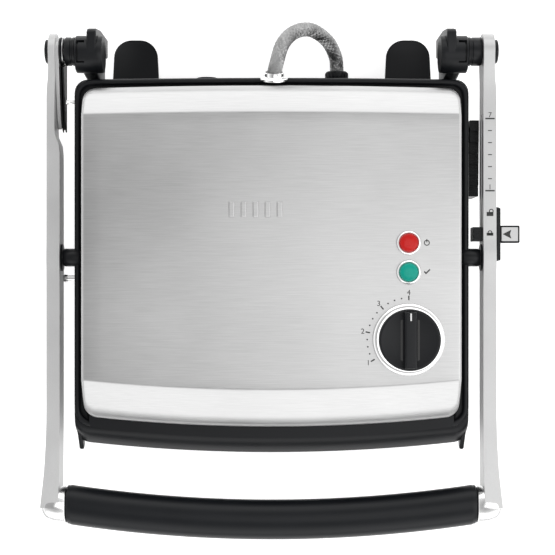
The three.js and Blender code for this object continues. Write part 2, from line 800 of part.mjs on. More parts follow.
// Side view of the cover: a flat top, a short slope to the rear, a longer one to the front, rolled edges.
function coverProfile(inset) {
  const top = coverTop - inset;
  const rear = coverRear + coverRearBow - inset;
  const front = coverFront - frontBow + inset;
  const shape = new THREE.Shape();
  shape.moveTo(rear, coverBase - (inset > 0 ? 1 : 0));
  shape.lineTo(rear, coverBase + 7);
  shape.quadraticCurveTo(rear, top - rearDrop - 1, rear - edgeRoll, top - rearDrop);
  shape.lineTo(coverRear - rearSlope, top);
  shape.lineTo(coverFront - frontBow + frontSlope, top);
  shape.lineTo(front + edgeRoll, top - frontDrop + 2);
  shape.quadraticCurveTo(front, top - frontDrop, front, coverBase + 4);
  shape.lineTo(front, coverBase - (inset > 0 ? 1 : 0));
  return shape;
}

function coverBody(inset) {
  const wide = sideSlab(coverProfile(inset), -halfLid, halfLid, 6);
  return wide.intersect(slab(coverOutline(inset), coverBase - 1, coverTop + 1, 10));
}

function makeCover() {
  const holes = lampPlaces.map(([, y]) => rodZ(lensRadius + 0.6, controlsX, y, coverTop - 5, coverTop + 5));
  holes.push(rodZ(dialShaftRadius + 1, controlsX, dialY, coverTop - 5, coverTop + 5, 24));
  addPart(lid, "lid_cover", steel, cut(coverBody(0), coverBody(coverSheet), ...holes));
}

// Slants the frame's front down from the cover to the lip, between the two side fins.
function visorCutter() {
  const lipHeight = frameBottom + 14;
  const shape = polygon([
    [coverFront - frontBow - 1, upstandTop - 1],
    [lidFront - frontBow - 1, lipHeight],
    [lidFront - frontBow - 30, lipHeight],
    [lidFront - frontBow - 30, upstandTop + 20],
    [coverFront - frontBow - 1, upstandTop + 20],
  ]);
  return sideSlab(shape, -halfLid - 5, halfLid + 5);
}

const padDepth = coverInset + lidWall + 2.5;

function makeFrame() {
  const wall = slab(lidOutline(0), frameBottom, frameTop);
  const upstand = slab(lidOutline(coverInset - 0.5), frameTop - 1, upstandTop);
  const ring = cut(join(wall, upstand), visorCutter());
  const hollow = slab(lidOutline(coverInset - 0.5 + lidWall), frameBottom + 5, upstandTop + 1);
  const plateWindow = slab(lidOutline(ledgeWidth), frameBottom - 1, frameBottom + 6);
  const groove = cut(
    slab(lidOutline(beadWidth), frameTop - 3, frameTop + 1),
    slab(lidOutline(coverInset - 0.5), frameTop - 4, frameTop + 2),
  );
  const fins = [-1, 1].map((sign) => {
    const shape = polygon([
      [lidFront + visorDepth, frameBottom + 4],
      [lidFront - cheekReach + 3, frameBottom + 4],
      [lidFront - cheekReach, frameBottom + 12],
      [lidFront - cheekReach + 2, frameTop - 10],
      [lidFront + visorDepth, frameTop],
    ]);
    const x = sign > 0 ? halfLid - cheekWidth : -halfLid;
    return sideSlab(shape, x, x + cheekWidth);
  });
  const sink = grommetRadius + seat;
  const pocket = box(
    grommetX - sink, grommetX + sink, grommetPlace.y - 3, lidRear + 9, frameTop - 3, upstandTop + 1,
  );
  const pinHoles = sides.map(([, sign]) => {
    const ends = [sign * (halfLid - padDepth), sign * (halfLid + 1)].sort((a, b) => a - b);
    return rodX(pivotPinRadius + seat, ...ends, pivotY, axisHeight, 24);
  });
  const backed = cut(ring, hollow, plateWindow, groove, pocket);
  const padded = join(backed, ...sides.map(([, sign]) => pivotPad(sign)), ...fins);
  addPart(lid, "lid_frame", black, cut(padded, ...pinHoles, ...sidePinHoles()));
}

// Thickening inside the frame's side that the pivot pin is pressed into, or the room it needs.
function pivotPad(sign, room = 0) {
  const xs = [sign * (halfLid - padDepth - room), sign * (halfLid - 2)].sort((a, b) => a - b);
  return rodX(axisDrop + upstandHeight + room, ...xs, pivotY, axisHeight, 24);
}

const sidePinZ = frameTop - sidePinDrop;
const guidePin = { y: hingeY - guidePinFromHinge, z: sidePinZ, r: guidePinRadius };
const stopPin = { y: pivotY - stopPinFromPivot, z: sidePinZ, r: stopPinRadius };

function sidePinHoles() {
  return [guidePin, stopPin].map(({ y, z, r }) => rodX(r + seat, -halfLid - 1, 15 - halfLid, y, z, 16));
}

function makeUpperPlate() {
  const inset = ledgeWidth + seat;
  const body = slab(lidOutline(inset), upperPlateUnder, upperPlateUnder + plateThickness);
  const half = halfLid - inset - ribMargin;
  const count = Math.floor((2 * half - ribWidth) / ribPitch);
  const ribFront = lidFront + inset + ribMargin;
  const ribRear = lidRear - inset - ribMargin;
  const ribs = [];
  for (let i = 0; i <= count; i++) {
    const x = (i - count / 2) * ribPitch;
    const shape = polygon([
      [-ribWidth / 2 - 1, 1],
      [ribWidth / 2 + 1, 1],
      [ribWidth / 2 - 1, -ribHeight],
      [1 - ribWidth / 2, -ribHeight],
    ]);
    const geometry = new THREE.ExtrudeGeometry(shape, { depth: ribRear - ribFront, bevelEnabled: false });
    geometry.rotateX(Math.PI / 2);
    geometry.translate(x, ribRear, upperPlateUnder);
    ribs.push(solidOf(geometry));
  }
  addPart(lid, "upper_grill_plate", "nonstick", join(body, ...ribs));
}

function makeLidInside() {
  const elementHeight = upperPlateUnder + plateThickness + seat + tubeRadius;
  addPart(lid, "upper_heating_element", "element_alloy", elementSolid(elementHeight));
  const sheetLow = elementHeight + tubeRadius + 2;
  const sheet = slab(lidOutline(coverInset - 0.5 + lidWall + seat), sheetLow, sheetLow + reflectorSheet);
  addPart(
    lid, "upper_heat_reflector", "bright_steel",
    cut(sheet, ...sides.map(([, sign]) => pivotPad(sign, seat))),
  );

  const bodyLow = sheetLow + reflectorSheet + seat;
  const body = box(controlsX - 17, controlsX + 17, dialY - 14, dialY + 14, bodyLow, bodyLow + 16);
  const shaftHole = rodZ(dialShaftRadius + slip, controlsX, dialY, bodyLow + 6, bodyLow + 20, 24);
  addPart(lid, "thermostat", "ceramic_white", cut(body, shaftHole));
  return bodyLow + 6;
}

function makeLamps() {
  for (const [name, y, lens] of lampPlaces) {
    const ring = rodZ(lampRingRadius, 0, 0, seat, lampProud + seat, 40);
    const ringHole = rodZ(lensRadius + slip, 0, 0, seat - 1, lampProud + 2, 32);
    const bezel = addPart(lid, `${name}_lamp_bezel`, "chrome", cut(ring, ringHole));
    bezel.position.set(controlsX, y, coverTop);
    const lamp = addPart(lid, `${name}_lamp_lens`, lens, rodZ(lensRadius, 0, 0, -9, lampProud - 0.2, 32));
    lamp.position.set(controlsX, y, coverTop);
  }
}

function makeSidePins() {
  const guideEnd = armInner + recessDepth - slip - guideThickness - slip;
  const pins = [
    ["rear_guide_pin", guidePin, guideEnd],
    ["tilt_stop_pin", stopPin, armInner - slip],
  ];
  for (const [name, { y, z, r }, reach] of pins) {
    addPart(lid, name, "chrome", rodX(r, -reach, 12 - halfLid, y, z, 16));
  }
  for (const [side, sign] of sides) {
    const bossX = [sign * (halfLid + seat), sign * (armInner - seat - flangeThickness - slip)].sort(
      (a, b) => a - b,
    );
    const boss = rodX(bossRadius, ...bossX, pivotY, axisHeight);
    const ends = [sign * (halfLid - padDepth + 2), sign * (armOuter - 3)].sort((a, b) => a - b);
    const bore = rodX(pivotPinRadius + runningGap, ...ends, pivotY, axisHeight, 24);
    addPart(lid, `pivot_boss_${side}`, black, cut(boss, bore));
    addPart(
      lid, `pivot_pin_${side}`, "bright_steel", rodX(pivotPinRadius, ...ends, pivotY, axisHeight, 24),
    );
  }
}

// The bright flange where the braided lead enters the lid; it leans back from the vertical.
function makeGrommet() {
  const disc = solidOf(new THREE.CylinderGeometry(grommetRadius, grommetRadius, grommetThickness, 32));
  const sleeve = solidOf(
    new THREE.CylinderGeometry(leadRadius + 2, leadRadius + 2, 6, 24).translate(0, 2, 0),
  );
  const bore = solidOf(new THREE.CylinderGeometry(leadRadius + 1, leadRadius + 1, 40, 24));
  const mesh = addPart(lid, "lid_grommet", "chrome", cut(join(disc, sleeve), bore));
  mesh.rotation.x = THREE.MathUtils.degToRad(grommetTilt);
  mesh.position.set(grommetX, grommetPlace.y, grommetPlace.z);
}

makeFrame();
makeCover();
makeUpperPlate();
const shaftLow = makeLidInside();
makeLamps();
makeSidePins();
makeGrommet();

// ---- Dial --------------------------------------------------------------------------------------------

const dial = newGroup(lid, controlsX, dialY, coverTop);

function makeDial() {
  const ringLow = seat;
  const ringTop = ringLow + 2.4;
  const ring = rodZ(dialRadius + dialRingWidth, 0, 0, ringLow, ringTop, 48);
  const hole = rodZ(dialRadius - 3, 0, 0, ringLow - 1, ringTop + 1, 48);
  const bezel = addPart(lid, "dial_bezel", "chrome", cut(ring, hole));
  bezel.position.copy(dial.position);

  const low = ringTop + slip;
  const disc = rodZ(dialRadius, 0, 0, low, low + dialHeight, 48);
  const halfBar = dialBarWidth / 2;
  const bar = box(
    -halfBar, halfBar, 1 - dialRadius, dialRadius - 1,
    low + dialHeight - 1, low + dialHeight + dialBarHeight,
  );
  addPart(dial, "dial_knob", black, join(disc, bar));

  const shaft = rodZ(dialShaftRadius, 0, 0, shaftLow - coverTop + slip, low - seat, 24);
  addPart(dial, "dial_shaft", "bright_steel", shaft);
}

makeDial();

// ---- Braided lead ------------------------------------------------------------------------------------

// It leaves the base straight to the rear, loops up and over, and enters the lid from behind.
function makeLead() {
  const tilt = THREE.MathUtils.degToRad(grommetTilt);
  const along = grommetThickness;
  const entry = new THREE.Vector3(
    grommetX,
    grommetPlace.y + along * Math.cos(tilt),
    grommetPlace.z + along * Math.sin(tilt),
  );
  const across = entry.x - leadExit.x;
  const back = leadReach;
  const rise = entry.z - leadExit.z;
  const at = (u, v, w) =>
    new THREE.Vector3(leadExit.x + u * across, leadExit.y + v * back, leadExit.z + w * rise);
  const route = new THREE.CatmullRomCurve3([
    at(0, -0.1, 0),
    at(0, 0.15, 0.01),
    at(0.03, 0.45, 0.08),
    at(0.16, 0.8, 0.27),
    at(0.42, 1, 0.55),
    at(0.68, 0.83, 0.8),
    at(0.87, 0.4, 0.99),
    new THREE.Vector3(entry.x - 0.03 * across, entry.y + 7, entry.z + 2.4),
    entry,
  ]);
  addPart(base, "braided_lead", "braided_steel", tube(route, leadRadius, leadSides, leadSteps));
}

makeLead();

// ---- The appliance's own frame -----------------------------------------------------------------------

// The bottom centre of the box round every piece is the origin.
const extent = new THREE.Box3().setFromObject(appliance, true);
const centre = extent.getCenter(new THREE.Vector3());
const placed = new THREE.Group();
appliance.position.set(-centre.x, -centre.y, -extent.min.z);
placed.add(appliance);

export default placed;
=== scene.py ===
import json
import math

import bmesh
import bpy
from mathutils import Matrix, Vector
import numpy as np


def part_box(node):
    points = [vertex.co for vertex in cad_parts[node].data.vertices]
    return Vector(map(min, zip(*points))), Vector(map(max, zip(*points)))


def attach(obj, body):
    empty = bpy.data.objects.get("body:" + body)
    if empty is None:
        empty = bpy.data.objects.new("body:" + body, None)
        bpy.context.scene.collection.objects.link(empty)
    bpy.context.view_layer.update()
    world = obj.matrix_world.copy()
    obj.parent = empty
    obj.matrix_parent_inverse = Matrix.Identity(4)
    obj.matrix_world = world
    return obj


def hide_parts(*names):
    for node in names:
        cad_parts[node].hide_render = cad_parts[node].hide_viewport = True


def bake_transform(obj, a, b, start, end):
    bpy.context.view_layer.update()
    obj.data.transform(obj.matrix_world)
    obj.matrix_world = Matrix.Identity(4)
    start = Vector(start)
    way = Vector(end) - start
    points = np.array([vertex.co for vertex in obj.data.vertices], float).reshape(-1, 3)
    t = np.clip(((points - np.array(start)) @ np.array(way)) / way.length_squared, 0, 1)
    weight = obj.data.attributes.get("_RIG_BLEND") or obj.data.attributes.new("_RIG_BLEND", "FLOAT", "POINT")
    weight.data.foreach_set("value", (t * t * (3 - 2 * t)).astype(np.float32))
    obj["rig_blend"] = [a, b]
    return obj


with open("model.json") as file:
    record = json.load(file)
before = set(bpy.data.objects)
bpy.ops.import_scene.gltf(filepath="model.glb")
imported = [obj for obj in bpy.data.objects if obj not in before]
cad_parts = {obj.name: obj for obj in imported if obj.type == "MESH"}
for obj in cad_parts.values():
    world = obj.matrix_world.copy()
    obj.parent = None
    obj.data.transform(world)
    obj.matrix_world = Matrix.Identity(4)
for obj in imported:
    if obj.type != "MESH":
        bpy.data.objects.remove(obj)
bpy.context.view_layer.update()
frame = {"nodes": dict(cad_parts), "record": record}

MM = 0.001

# ---- Sizes shared by several pieces, in millimetres ---------------------------------------------------

HALF_LID, LID_REAR, LID_FRONT = 153.0, 144.0, -138.0
FRONT_BOW, REAR_BOW, LID_CORNER = 9.0, 1.5, 10.0
SHELL_BOTTOM, SHELL_TOP, RIM_TOP = 8.0, 50.0, 60.0
FRAME_BOTTOM, FRAME_TOP, UPSTAND_TOP = 66.0, 96.0, 100.0
COVER_BASE, COVER_TOP = 100.3, 128.3
AXIS_Z, HINGE_Y, PIVOT_Y = 92.0, 166.0, 6.0
ARM_INNER, ARM_OUTER, GRIP_Y = 163.1, 173.1, -186.5
KNUCKLE_INNER, KNUCKLE_OUTER = 158.8, 177.8
REAR_WALL, STORAGE_Y = 140.3, 185.5
CONTROLS_X, DIAL_Y = 103.0, -56.0
LAMP_YS = {"power": 16.5, "ready": -5.5}

frame_low, frame_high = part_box("lid_frame")
to_row = Matrix.Translation(
    ((frame_low.x + frame_high.x) / 2, frame_high.y - (LID_REAR + REAR_BOW) * MM, 0)
) @ Matrix.Scale(MM, 4)


# ---- Shader node groups and finishes ------------------------------------------------------------------


def new_group(name, inputs, outputs):
    tree = bpy.data.node_groups.new(name, "ShaderNodeTree")
    for label, kind, value in inputs:
        socket = tree.interface.new_socket(label, in_out="INPUT", socket_type="NodeSocket" + kind)
        if value is not None:
            socket.default_value = value
    for label, kind in outputs:
        tree.interface.new_socket(label, in_out="OUTPUT", socket_type="NodeSocket" + kind)
    return tree, tree.nodes.new("NodeGroupInput"), tree.nodes.new("NodeGroupOutput")


def add_node(tree, kind, values=(), **settings):
    node = tree.nodes.new(kind)
    for key, value in settings.items():
        setattr(node, key, value)
    for key, value in dict(values).items():
        node.inputs[key].default_value = value
    return node


def brushed_group():
    """Long fine scratches along one axis, and a slow drift in tone."""
    tree, put, take = new_group(
        "brushed_lines",
        [("Vector", "Vector", None), ("Along", "Float", 20.0), ("Across", "Float", 2500.0)],
        [("Lines", "Float"), ("Drift", "Float")],
    )
    spread = add_node(tree, "ShaderNodeCombineXYZ")
    tree.links.new(put.outputs["Along"], spread.inputs["X"])
    tree.links.new(put.outputs["Across"], spread.inputs["Y"])
    tree.links.new(put.outputs["Across"], spread.inputs["Z"])
    stretched = add_node(tree, "ShaderNodeVectorMath", operation="MULTIPLY")
    tree.links.new(put.outputs["Vector"], stretched.inputs[0])
    tree.links.new(spread.outputs[0], stretched.inputs[1])
    lines = add_node(tree, "ShaderNodeTexNoise", {"Scale": 1.0, "Detail": 4.0, "Roughness": 0.65})
    tree.links.new(stretched.outputs[0], lines.inputs["Vector"])
    tree.links.new(lines.outputs["Fac"], take.inputs["Lines"])
    drift = add_node(tree, "ShaderNodeTexNoise", {"Scale": 9.0, "Detail": 2.0})
    tree.links.new(put.outputs["Vector"], drift.inputs["Vector"])
    tree.links.new(drift.outputs["Fac"], take.inputs["Drift"])
    return tree


def speckle_group():
    """A fine moulded or blasted texture with larger, faint patches."""
    tree, put, take = new_group(
        "fine_texture",
        [("Vector", "Vector", None), ("Fineness", "Float", 2200.0)],
        [("Height", "Float"), ("Patches", "Float")],
    )
    fine = add_node(tree, "ShaderNodeTexNoise", {"Detail": 3.0, "Roughness": 0.6})
    tree.links.new(put.outputs["Vector"], fine.inputs["Vector"])
    tree.links.new(put.outputs["Fineness"], fine.inputs["Scale"])
    tree.links.new(fine.outputs["Fac"], take.inputs["Height"])
    patches = add_node(tree, "ShaderNodeTexNoise", {"Scale": 28.0, "Detail": 4.0, "Roughness": 0.55})
    tree.links.new(put.outputs["Vector"], patches.inputs["Vector"])
    tree.links.new(patches.outputs["Fac"], take.inputs["Patches"])
    return tree


BRUSHED = brushed_group()
SPECKLE = speckle_group()


FINISHES = {}
LOW_SHEEN = {"Specular IOR Level": 0.22}
BUMP_DEPTH = 0.00005


def finish(name, dark, light, rough, metallic=0.0, group=SPECKLE, bump=0.1, settings=(), **inputs):
    """Files a surface whose tone and roughness vary with one of the shared textures."""
    material = bpy.data.materials.new(name)
    material.use_nodes = True
    tree = material.node_tree
    shader = tree.nodes["Principled BSDF"]
    shader.inputs["Metallic"].default_value = metallic
    for key, value in dict(settings).items():
        shader.inputs[key].default_value = value
    place = add_node(tree, "ShaderNodeTexCoord")
    texture = add_node(tree, "ShaderNodeGroup", node_tree=group)
    for key, value in inputs.items():
        texture.inputs[key].default_value = value
    tree.links.new(place.outputs["Object"], texture.inputs["Vector"])
    detail, slow = texture.outputs[0], texture.outputs[1]
    blend = add_node(tree, "ShaderNodeMath", {1: 0.45}, operation="MULTIPLY")
    tree.links.new(slow, blend.inputs[0])
    both = add_node(tree, "ShaderNodeMath", {1: 0.55}, operation="MULTIPLY_ADD")
    tree.links.new(detail, both.inputs[0])
    tree.links.new(blend.outputs[0], both.inputs[2])
    tone = add_node(tree, "ShaderNodeValToRGB")
    tone.color_ramp.elements[0].position, tone.color_ramp.elements[1].position = 0.3, 0.7
    tone.color_ramp.elements[0].color = (*dark, 1)
    tone.color_ramp.elements[1].color = (*light, 1)
    tree.links.new(both.outputs[0], tone.inputs["Fac"])
    tree.links.new(tone.outputs["Color"], shader.inputs["Base Color"])
    ends = {"From Min": 0.25, "From Max": 0.75, "To Min": rough[0], "To Max": rough[1]}
    gloss = add_node(tree, "ShaderNodeMapRange", ends)
    tree.links.new(both.outputs[0], gloss.inputs["Value"])
    tree.links.new(gloss.outputs["Result"], shader.inputs["Roughness"])
    raised = add_node(tree, "ShaderNodeBump", {"Strength": bump, "Distance": BUMP_DEPTH})
    tree.links.new(detail, raised.inputs["Height"])
    tree.links.new(raised.outputs["Normal"], shader.inputs["Normal"])
    FINISHES[name] = material


def grey(value):
    return (value, value, value)


def glowing(colour, strength):
    return {**LOW_SHEEN, "Emission Color": (*colour, 1), "Emission Strength": strength}


finish("brushed_steel", grey(0.43), grey(0.59), (0.30, 0.44), 1.0, BRUSHED, 0.2, Along=45.0, Across=1900.0)
finish("cast_alloy", grey(0.47), grey(0.56), (0.30, 0.40), 0.25, bump=0.12, Fineness=1500.0)
finish("polished_alloy", grey(0.74), grey(0.84), (0.14, 0.24), 1.0, bump=0.05, Fineness=900.0)
finish("chrome", grey(0.86), grey(0.92), (0.04, 0.09), 1.0, bump=0.01, Fineness=300.0)
finish(
    "black_plastic", (0.0045, 0.0050, 0.0062), (0.0085, 0.0092, 0.0108), (0.30, 0.42), bump=0.14,
    settings=LOW_SHEEN, Fineness=2600.0,
)
finish(
    "soft_grip", (0.0040, 0.0048, 0.0062), (0.0072, 0.0082, 0.0100), (0.28, 0.38), bump=0.2,
    settings=LOW_SHEEN, Fineness=3200.0,
)
finish("nonstick", grey(0.012), grey(0.03), (0.3, 0.5), 0.1, bump=0.25, Fineness=1800.0)
finish("rubber", grey(0.008), grey(0.016), (0.7, 0.85), bump=0.3, Fineness=1500.0)
finish("bright_steel", grey(0.45), grey(0.6), (0.24, 0.36), 1.0, BRUSHED, 0.1, Along=60.0, Across=1600.0)
finish("element_alloy", (0.05, 0.04, 0.035), (0.2, 0.15, 0.11), (0.4, 0.6), 0.9, bump=0.15, Fineness=900.0)
finish("braided_steel", grey(0.34), grey(0.46), (0.36, 0.5), 1.0, bump=0.05, Fineness=1800.0)
finish("braid_liner", grey(0.10), grey(0.14), (0.5, 0.6), 0.8, bump=0.05, Fineness=1800.0)
finish(
    "red_lens", (0.34, 0.006, 0.006), (0.46, 0.011, 0.010), (0.16, 0.24), bump=0.05,
    settings=glowing((0.8, 0.02, 0.01), 0.08), Fineness=900.0,
)
finish(
    "green_lens", (0.0, 0.21, 0.16), (0.004, 0.29, 0.22), (0.16, 0.24), bump=0.05,
    settings=glowing((0.01, 0.5, 0.38), 0.06), Fineness=900.0,
)
finish("ceramic_white", grey(0.6), grey(0.72), (0.4, 0.55), bump=0.1, Fineness=1200.0)
# Ink for the printed marks; also the flat strips that paint the shade of the dial knob's grooves.
finish("print_ink", grey(0.012), grey(0.02), (0.4, 0.5), bump=0.02, Fineness=900.0)

for entry in frame["record"]["subparts"]:
    node = frame["nodes"][entry["node"]]
    node.data.materials.clear()
    node.data.materials.append(FINISHES[entry["material_slot"]])


# ---- Modelling helpers --------------------------------------------------------------------------------


def put_in_scene(name, data):
    holder = bpy.data.objects.new(name, data)
    bpy.context.scene.collection.objects.link(holder)
    return holder


def add_piece(name, bm, body, finish_name, stands_for=(), bevel=0.0, segments=3, crease=35):
    """Places a finished bmesh in the row frame and hands it to its body."""
    bmesh.ops.recalc_face_normals(bm, faces=bm.faces[:])
    bm.transform(to_row)
    mesh = bpy.data.meshes.new(name)
    bm.to_mesh(mesh)
    bm.free()
    piece = put_in_scene(name, mesh)
    mesh.materials.append(FINISHES[finish_name])
    mesh.shade_smooth()
    if bevel:
        rounding = piece.modifiers.new("rounding", "BEVEL")
        rounding.width = bevel * MM
        rounding.segments = segments
        rounding.limit_method = "ANGLE"
        rounding.angle_limit = math.radians(40)
        rounding.harden_normals = True
    else:
        mesh.set_sharp_from_angle(angle=math.radians(crease))
    if body:
        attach(piece, body)
    if stands_for:
        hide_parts(*stands_for)
    return piece


def turned_piece(name, profile, place, body, finish_name, stands_for=(), sides=48, closed=True, crease=50):
    """A piece made on the lathe and stood in its place."""
    return add_piece(name, turned(profile, place, sides, closed), body, finish_name, stands_for, crease=crease)


def merge_in(bm, part, matrix=None):
    """Adds one bmesh to another, and frees it."""
    if matrix is not None:
        part.transform(matrix)
    mesh = bpy.data.meshes.new("part")
    part.to_mesh(mesh)
    part.free()
    bm.from_mesh(mesh)
    bpy.data.meshes.remove(mesh)


def block(bm, x, y, z):
    """A box between three pairs of planes."""
    made = bmesh.ops.create_cube(bm, size=1.0)["verts"]
    centre = Vector([sum(pair) / 2 for pair in (x, y, z)])
    size = [abs(pair[1] - pair[0]) for pair in (x, y, z)]
    for v in made:
        v.co = centre + Vector([v.co[i] * size[i] for i in range(3)])
    return made


def blocks(*boxes):
    """A new bmesh of boxes, each given as three pairs of planes."""
    bm = bmesh.new()
    for box in boxes:
        block(bm, *box)
    return bm


def about(middle, half):
    """Two planes, one on each side of a place."""
    return middle - half, middle + half


def sideways(x, y, z, sign=1):
    """Stands a turned piece's axis along X, pointing away from the centre plane."""
    return Matrix.Translation((x, y, z)) @ Matrix.Rotation(sign * math.pi / 2, 4, "Y")


def turned(profile, matrix, sides=40, closed=False):
    """A lathe shape from (radius, height) points."""
    bm = bmesh.new()
    ring = [bm.verts.new((r, 0, h)) for r, h in profile]
    edges = [bm.edges.new(pair) for pair in zip(ring, ring[1:])]
    if closed:
        edges.append(bm.edges.new((ring[-1], ring[0])))
    bmesh.ops.spin(
        bm, geom=ring + edges, cent=(0, 0, 0), axis=(0, 0, 1), angle=2 * math.pi, steps=sides, use_merge=True
    )
    bmesh.ops.remove_doubles(bm, verts=bm.verts[:], dist=1e-4)
    bmesh.ops.recalc_face_normals(bm, faces=bm.faces[:])
    bm.transform(matrix)
    return bm


def prism(points, low, high, axis="X", bm=None):
    """A flat polygon carried between two planes: (y, z) along X, or (x, y) along Z."""
    bm = bm or bmesh.new()

    def place(p, level):
        return (level, p[0], p[1]) if axis == "X" else (p[0], p[1], level)

    face = bm.faces.new([bm.verts.new(place(p, low)) for p in points])
    made = bmesh.ops.extrude_face_region(bm, geom=[face])["geom"]
    shift = Vector(place((0, 0), high - low))
    bmesh.ops.translate(bm, verts=verts_of(made), vec=shift)
    return bm


def slice_at(bm, axis, places):
    normal = Vector([1.0 if i == axis else 0.0 for i in range(3)])
    for place in places:
        geom = bm.verts[:] + bm.edges[:] + bm.faces[:]
        bmesh.ops.bisect_plane(bm, geom=geom, dist=1e-4, plane_co=normal * place, plane_no=normal)


def verts_of(made):
    return [g for g in made if isinstance(g, bmesh.types.BMVert)]


def cut_away(bm, picks):
    """Removes the faces picked by middle and normal, and gives back the open edges."""
    gone = [f for f in bm.faces if picks(f.calc_center_median(), f.normal)]
    bmesh.ops.delete(bm, geom=gone, context="FACES")
    return [e for e in bm.edges if len(e.link_faces) == 1]


def steps_between(low, high, count):
    return [low + (high - low) * i / count for i in range(count + 1)]


def plan_sheet(half, rear, front, corner, rear_bow=REAR_BOW, front_bow=FRONT_BOW, columns=22, rows=12, arc=6):
    """A flat sheet in plan with rounded corners, bowed at the rear and front; rows is a count or places."""
    bm = bmesh.new()
    bmesh.ops.create_grid(bm, x_segments=1, y_segments=1, size=1.0)
    for v in bm.verts:
        v.co = (v.co.x * half, (rear + front) / 2 + v.co.y * (rear - front) / 2, 0)
    bmesh.ops.bevel(
        bm, geom=bm.verts[:], affect="VERTICES", offset=corner, offset_type="OFFSET", segments=arc, profile=0.5,
        material=-1,
    )
    slice_at(bm, 0, steps_between(corner - half, half - corner, columns)[1:-1])
    if isinstance(rows, int):
        rows = steps_between(front + corner, rear - corner, rows)[1:-1]
    slice_at(bm, 1, rows)
    flat = bm.verts.layers.float.new("flat_y")
    for v in bm.verts:
        v[flat] = v.co.y
        swell = 1 - (v.co.x / half) ** 2
        along = (v.co.y - front) / (rear - front)
        v.co.y += swell * (rear_bow * along - front_bow * (1 - along))
    return bm


def plan_loop(inset=0.0, half=HALF_LID, rear=LID_REAR, front=LID_FRONT, corner=LID_CORNER, rear_bow=REAR_BOW,
              front_bow=FRONT_BOW, **more):
    """The sheet's outline as points and the pairs that its edges join; an inset draws it in."""
    corner = max(corner - inset, 2.0)
    bm = plan_sheet(half - inset, rear - inset, front + inset, corner, rear_bow, front_bow, **more)
    bmesh.ops.delete(bm, geom=bm.faces[:], context="FACES_KEEP_BOUNDARY")
    bm.verts.index_update()
    points = [v.co.copy() for v in bm.verts]
    pairs = [(e.verts[0].index, e.verts[1].index) for e in bm.edges]
    bm.free()
    return points, pairs


def carry(bm, edges, tag, spot):
    """Extrudes a closed loop of edges; spot gives the new place of each numbered vertex."""
    made = bmesh.ops.extrude_edge_only(bm, edges=edges)["geom"]
    fresh = set(verts_of(made))
    for v in fresh:
        v.co = spot(v[tag])
    return [g for g in made if isinstance(g, bmesh.types.BMEdge) and set(g.verts) <= fresh]


def loft(loops, closed=False, caps=True):
    """Skins a stack of plan loops, each (points, height or heights), and closes or caps it."""
    bm = bmesh.new()
    tag = bm.verts.layers.int.new("place")
    (points, pairs), height = loops[0]

    def spot(points, height):
        level = height if callable(height) else lambda p: height
        return lambda i: Vector((points[i].x, points[i].y, level(points[i])))

    first = []
    for i in range(len(points)):
        v = bm.verts.new(spot(points, height)(i))
        v[tag] = i
        first.append(v)
    start = [bm.edges.new((first[a], first[b])) for a, b in pairs]
    edges = start
    for (points, _), height in loops[1:]:
        edges = carry(bm, edges, tag, spot(points, height))
    if closed:
        bmesh.ops.bridge_loops(bm, edges=edges + start)
    elif caps:
        for ring in (start, edges):
            bmesh.ops.contextual_create(bm, geom=ring)
    return bm


def between(a, b, share):
    """A plan loop part of the way from one to another."""
    return [p.lerp(q, share) for p, q in zip(a[0], b[0])], a[1]


def soft_step(low, high, value):
    t = min(max((value - low) / (high - low), 0.0), 1.0)
    return t * t * (3 - 2 * t)


def mirrored(bm, sign):
    if sign < 0:
        bmesh.ops.scale(bm, vec=(-1, 1, 1), verts=bm.verts[:])
        bmesh.ops.reverse_faces(bm, faces=bm.faces[:])
    return bm


SIDES = (("left", -1), ("right", 1))


# ---- Lid: cover ---------------------------------------------------------------------------------------

COVER_REAR, COVER_FRONT, COVER_HALF = 134.4, -116.0, 142.9
COVER_REAR_BOW, COVER_FRONT_BOW = 2.3, 7.9
REAR_CREASE, FRONT_CREASE = 113.0, -86.5
REAR_FALL, FRONT_FALL = 0.5, 0.567
SIDE_ROLL, REAR_ROLL, FRONT_ROLL = 2.8, 6.5, 9.5


def cover_height(y):
    """Side view of the cover, by the depth before the ends are bowed."""
    return COVER_TOP - REAR_FALL * max(y - REAR_CREASE, 0.0) - FRONT_FALL * max(FRONT_CREASE - y, 0.0)


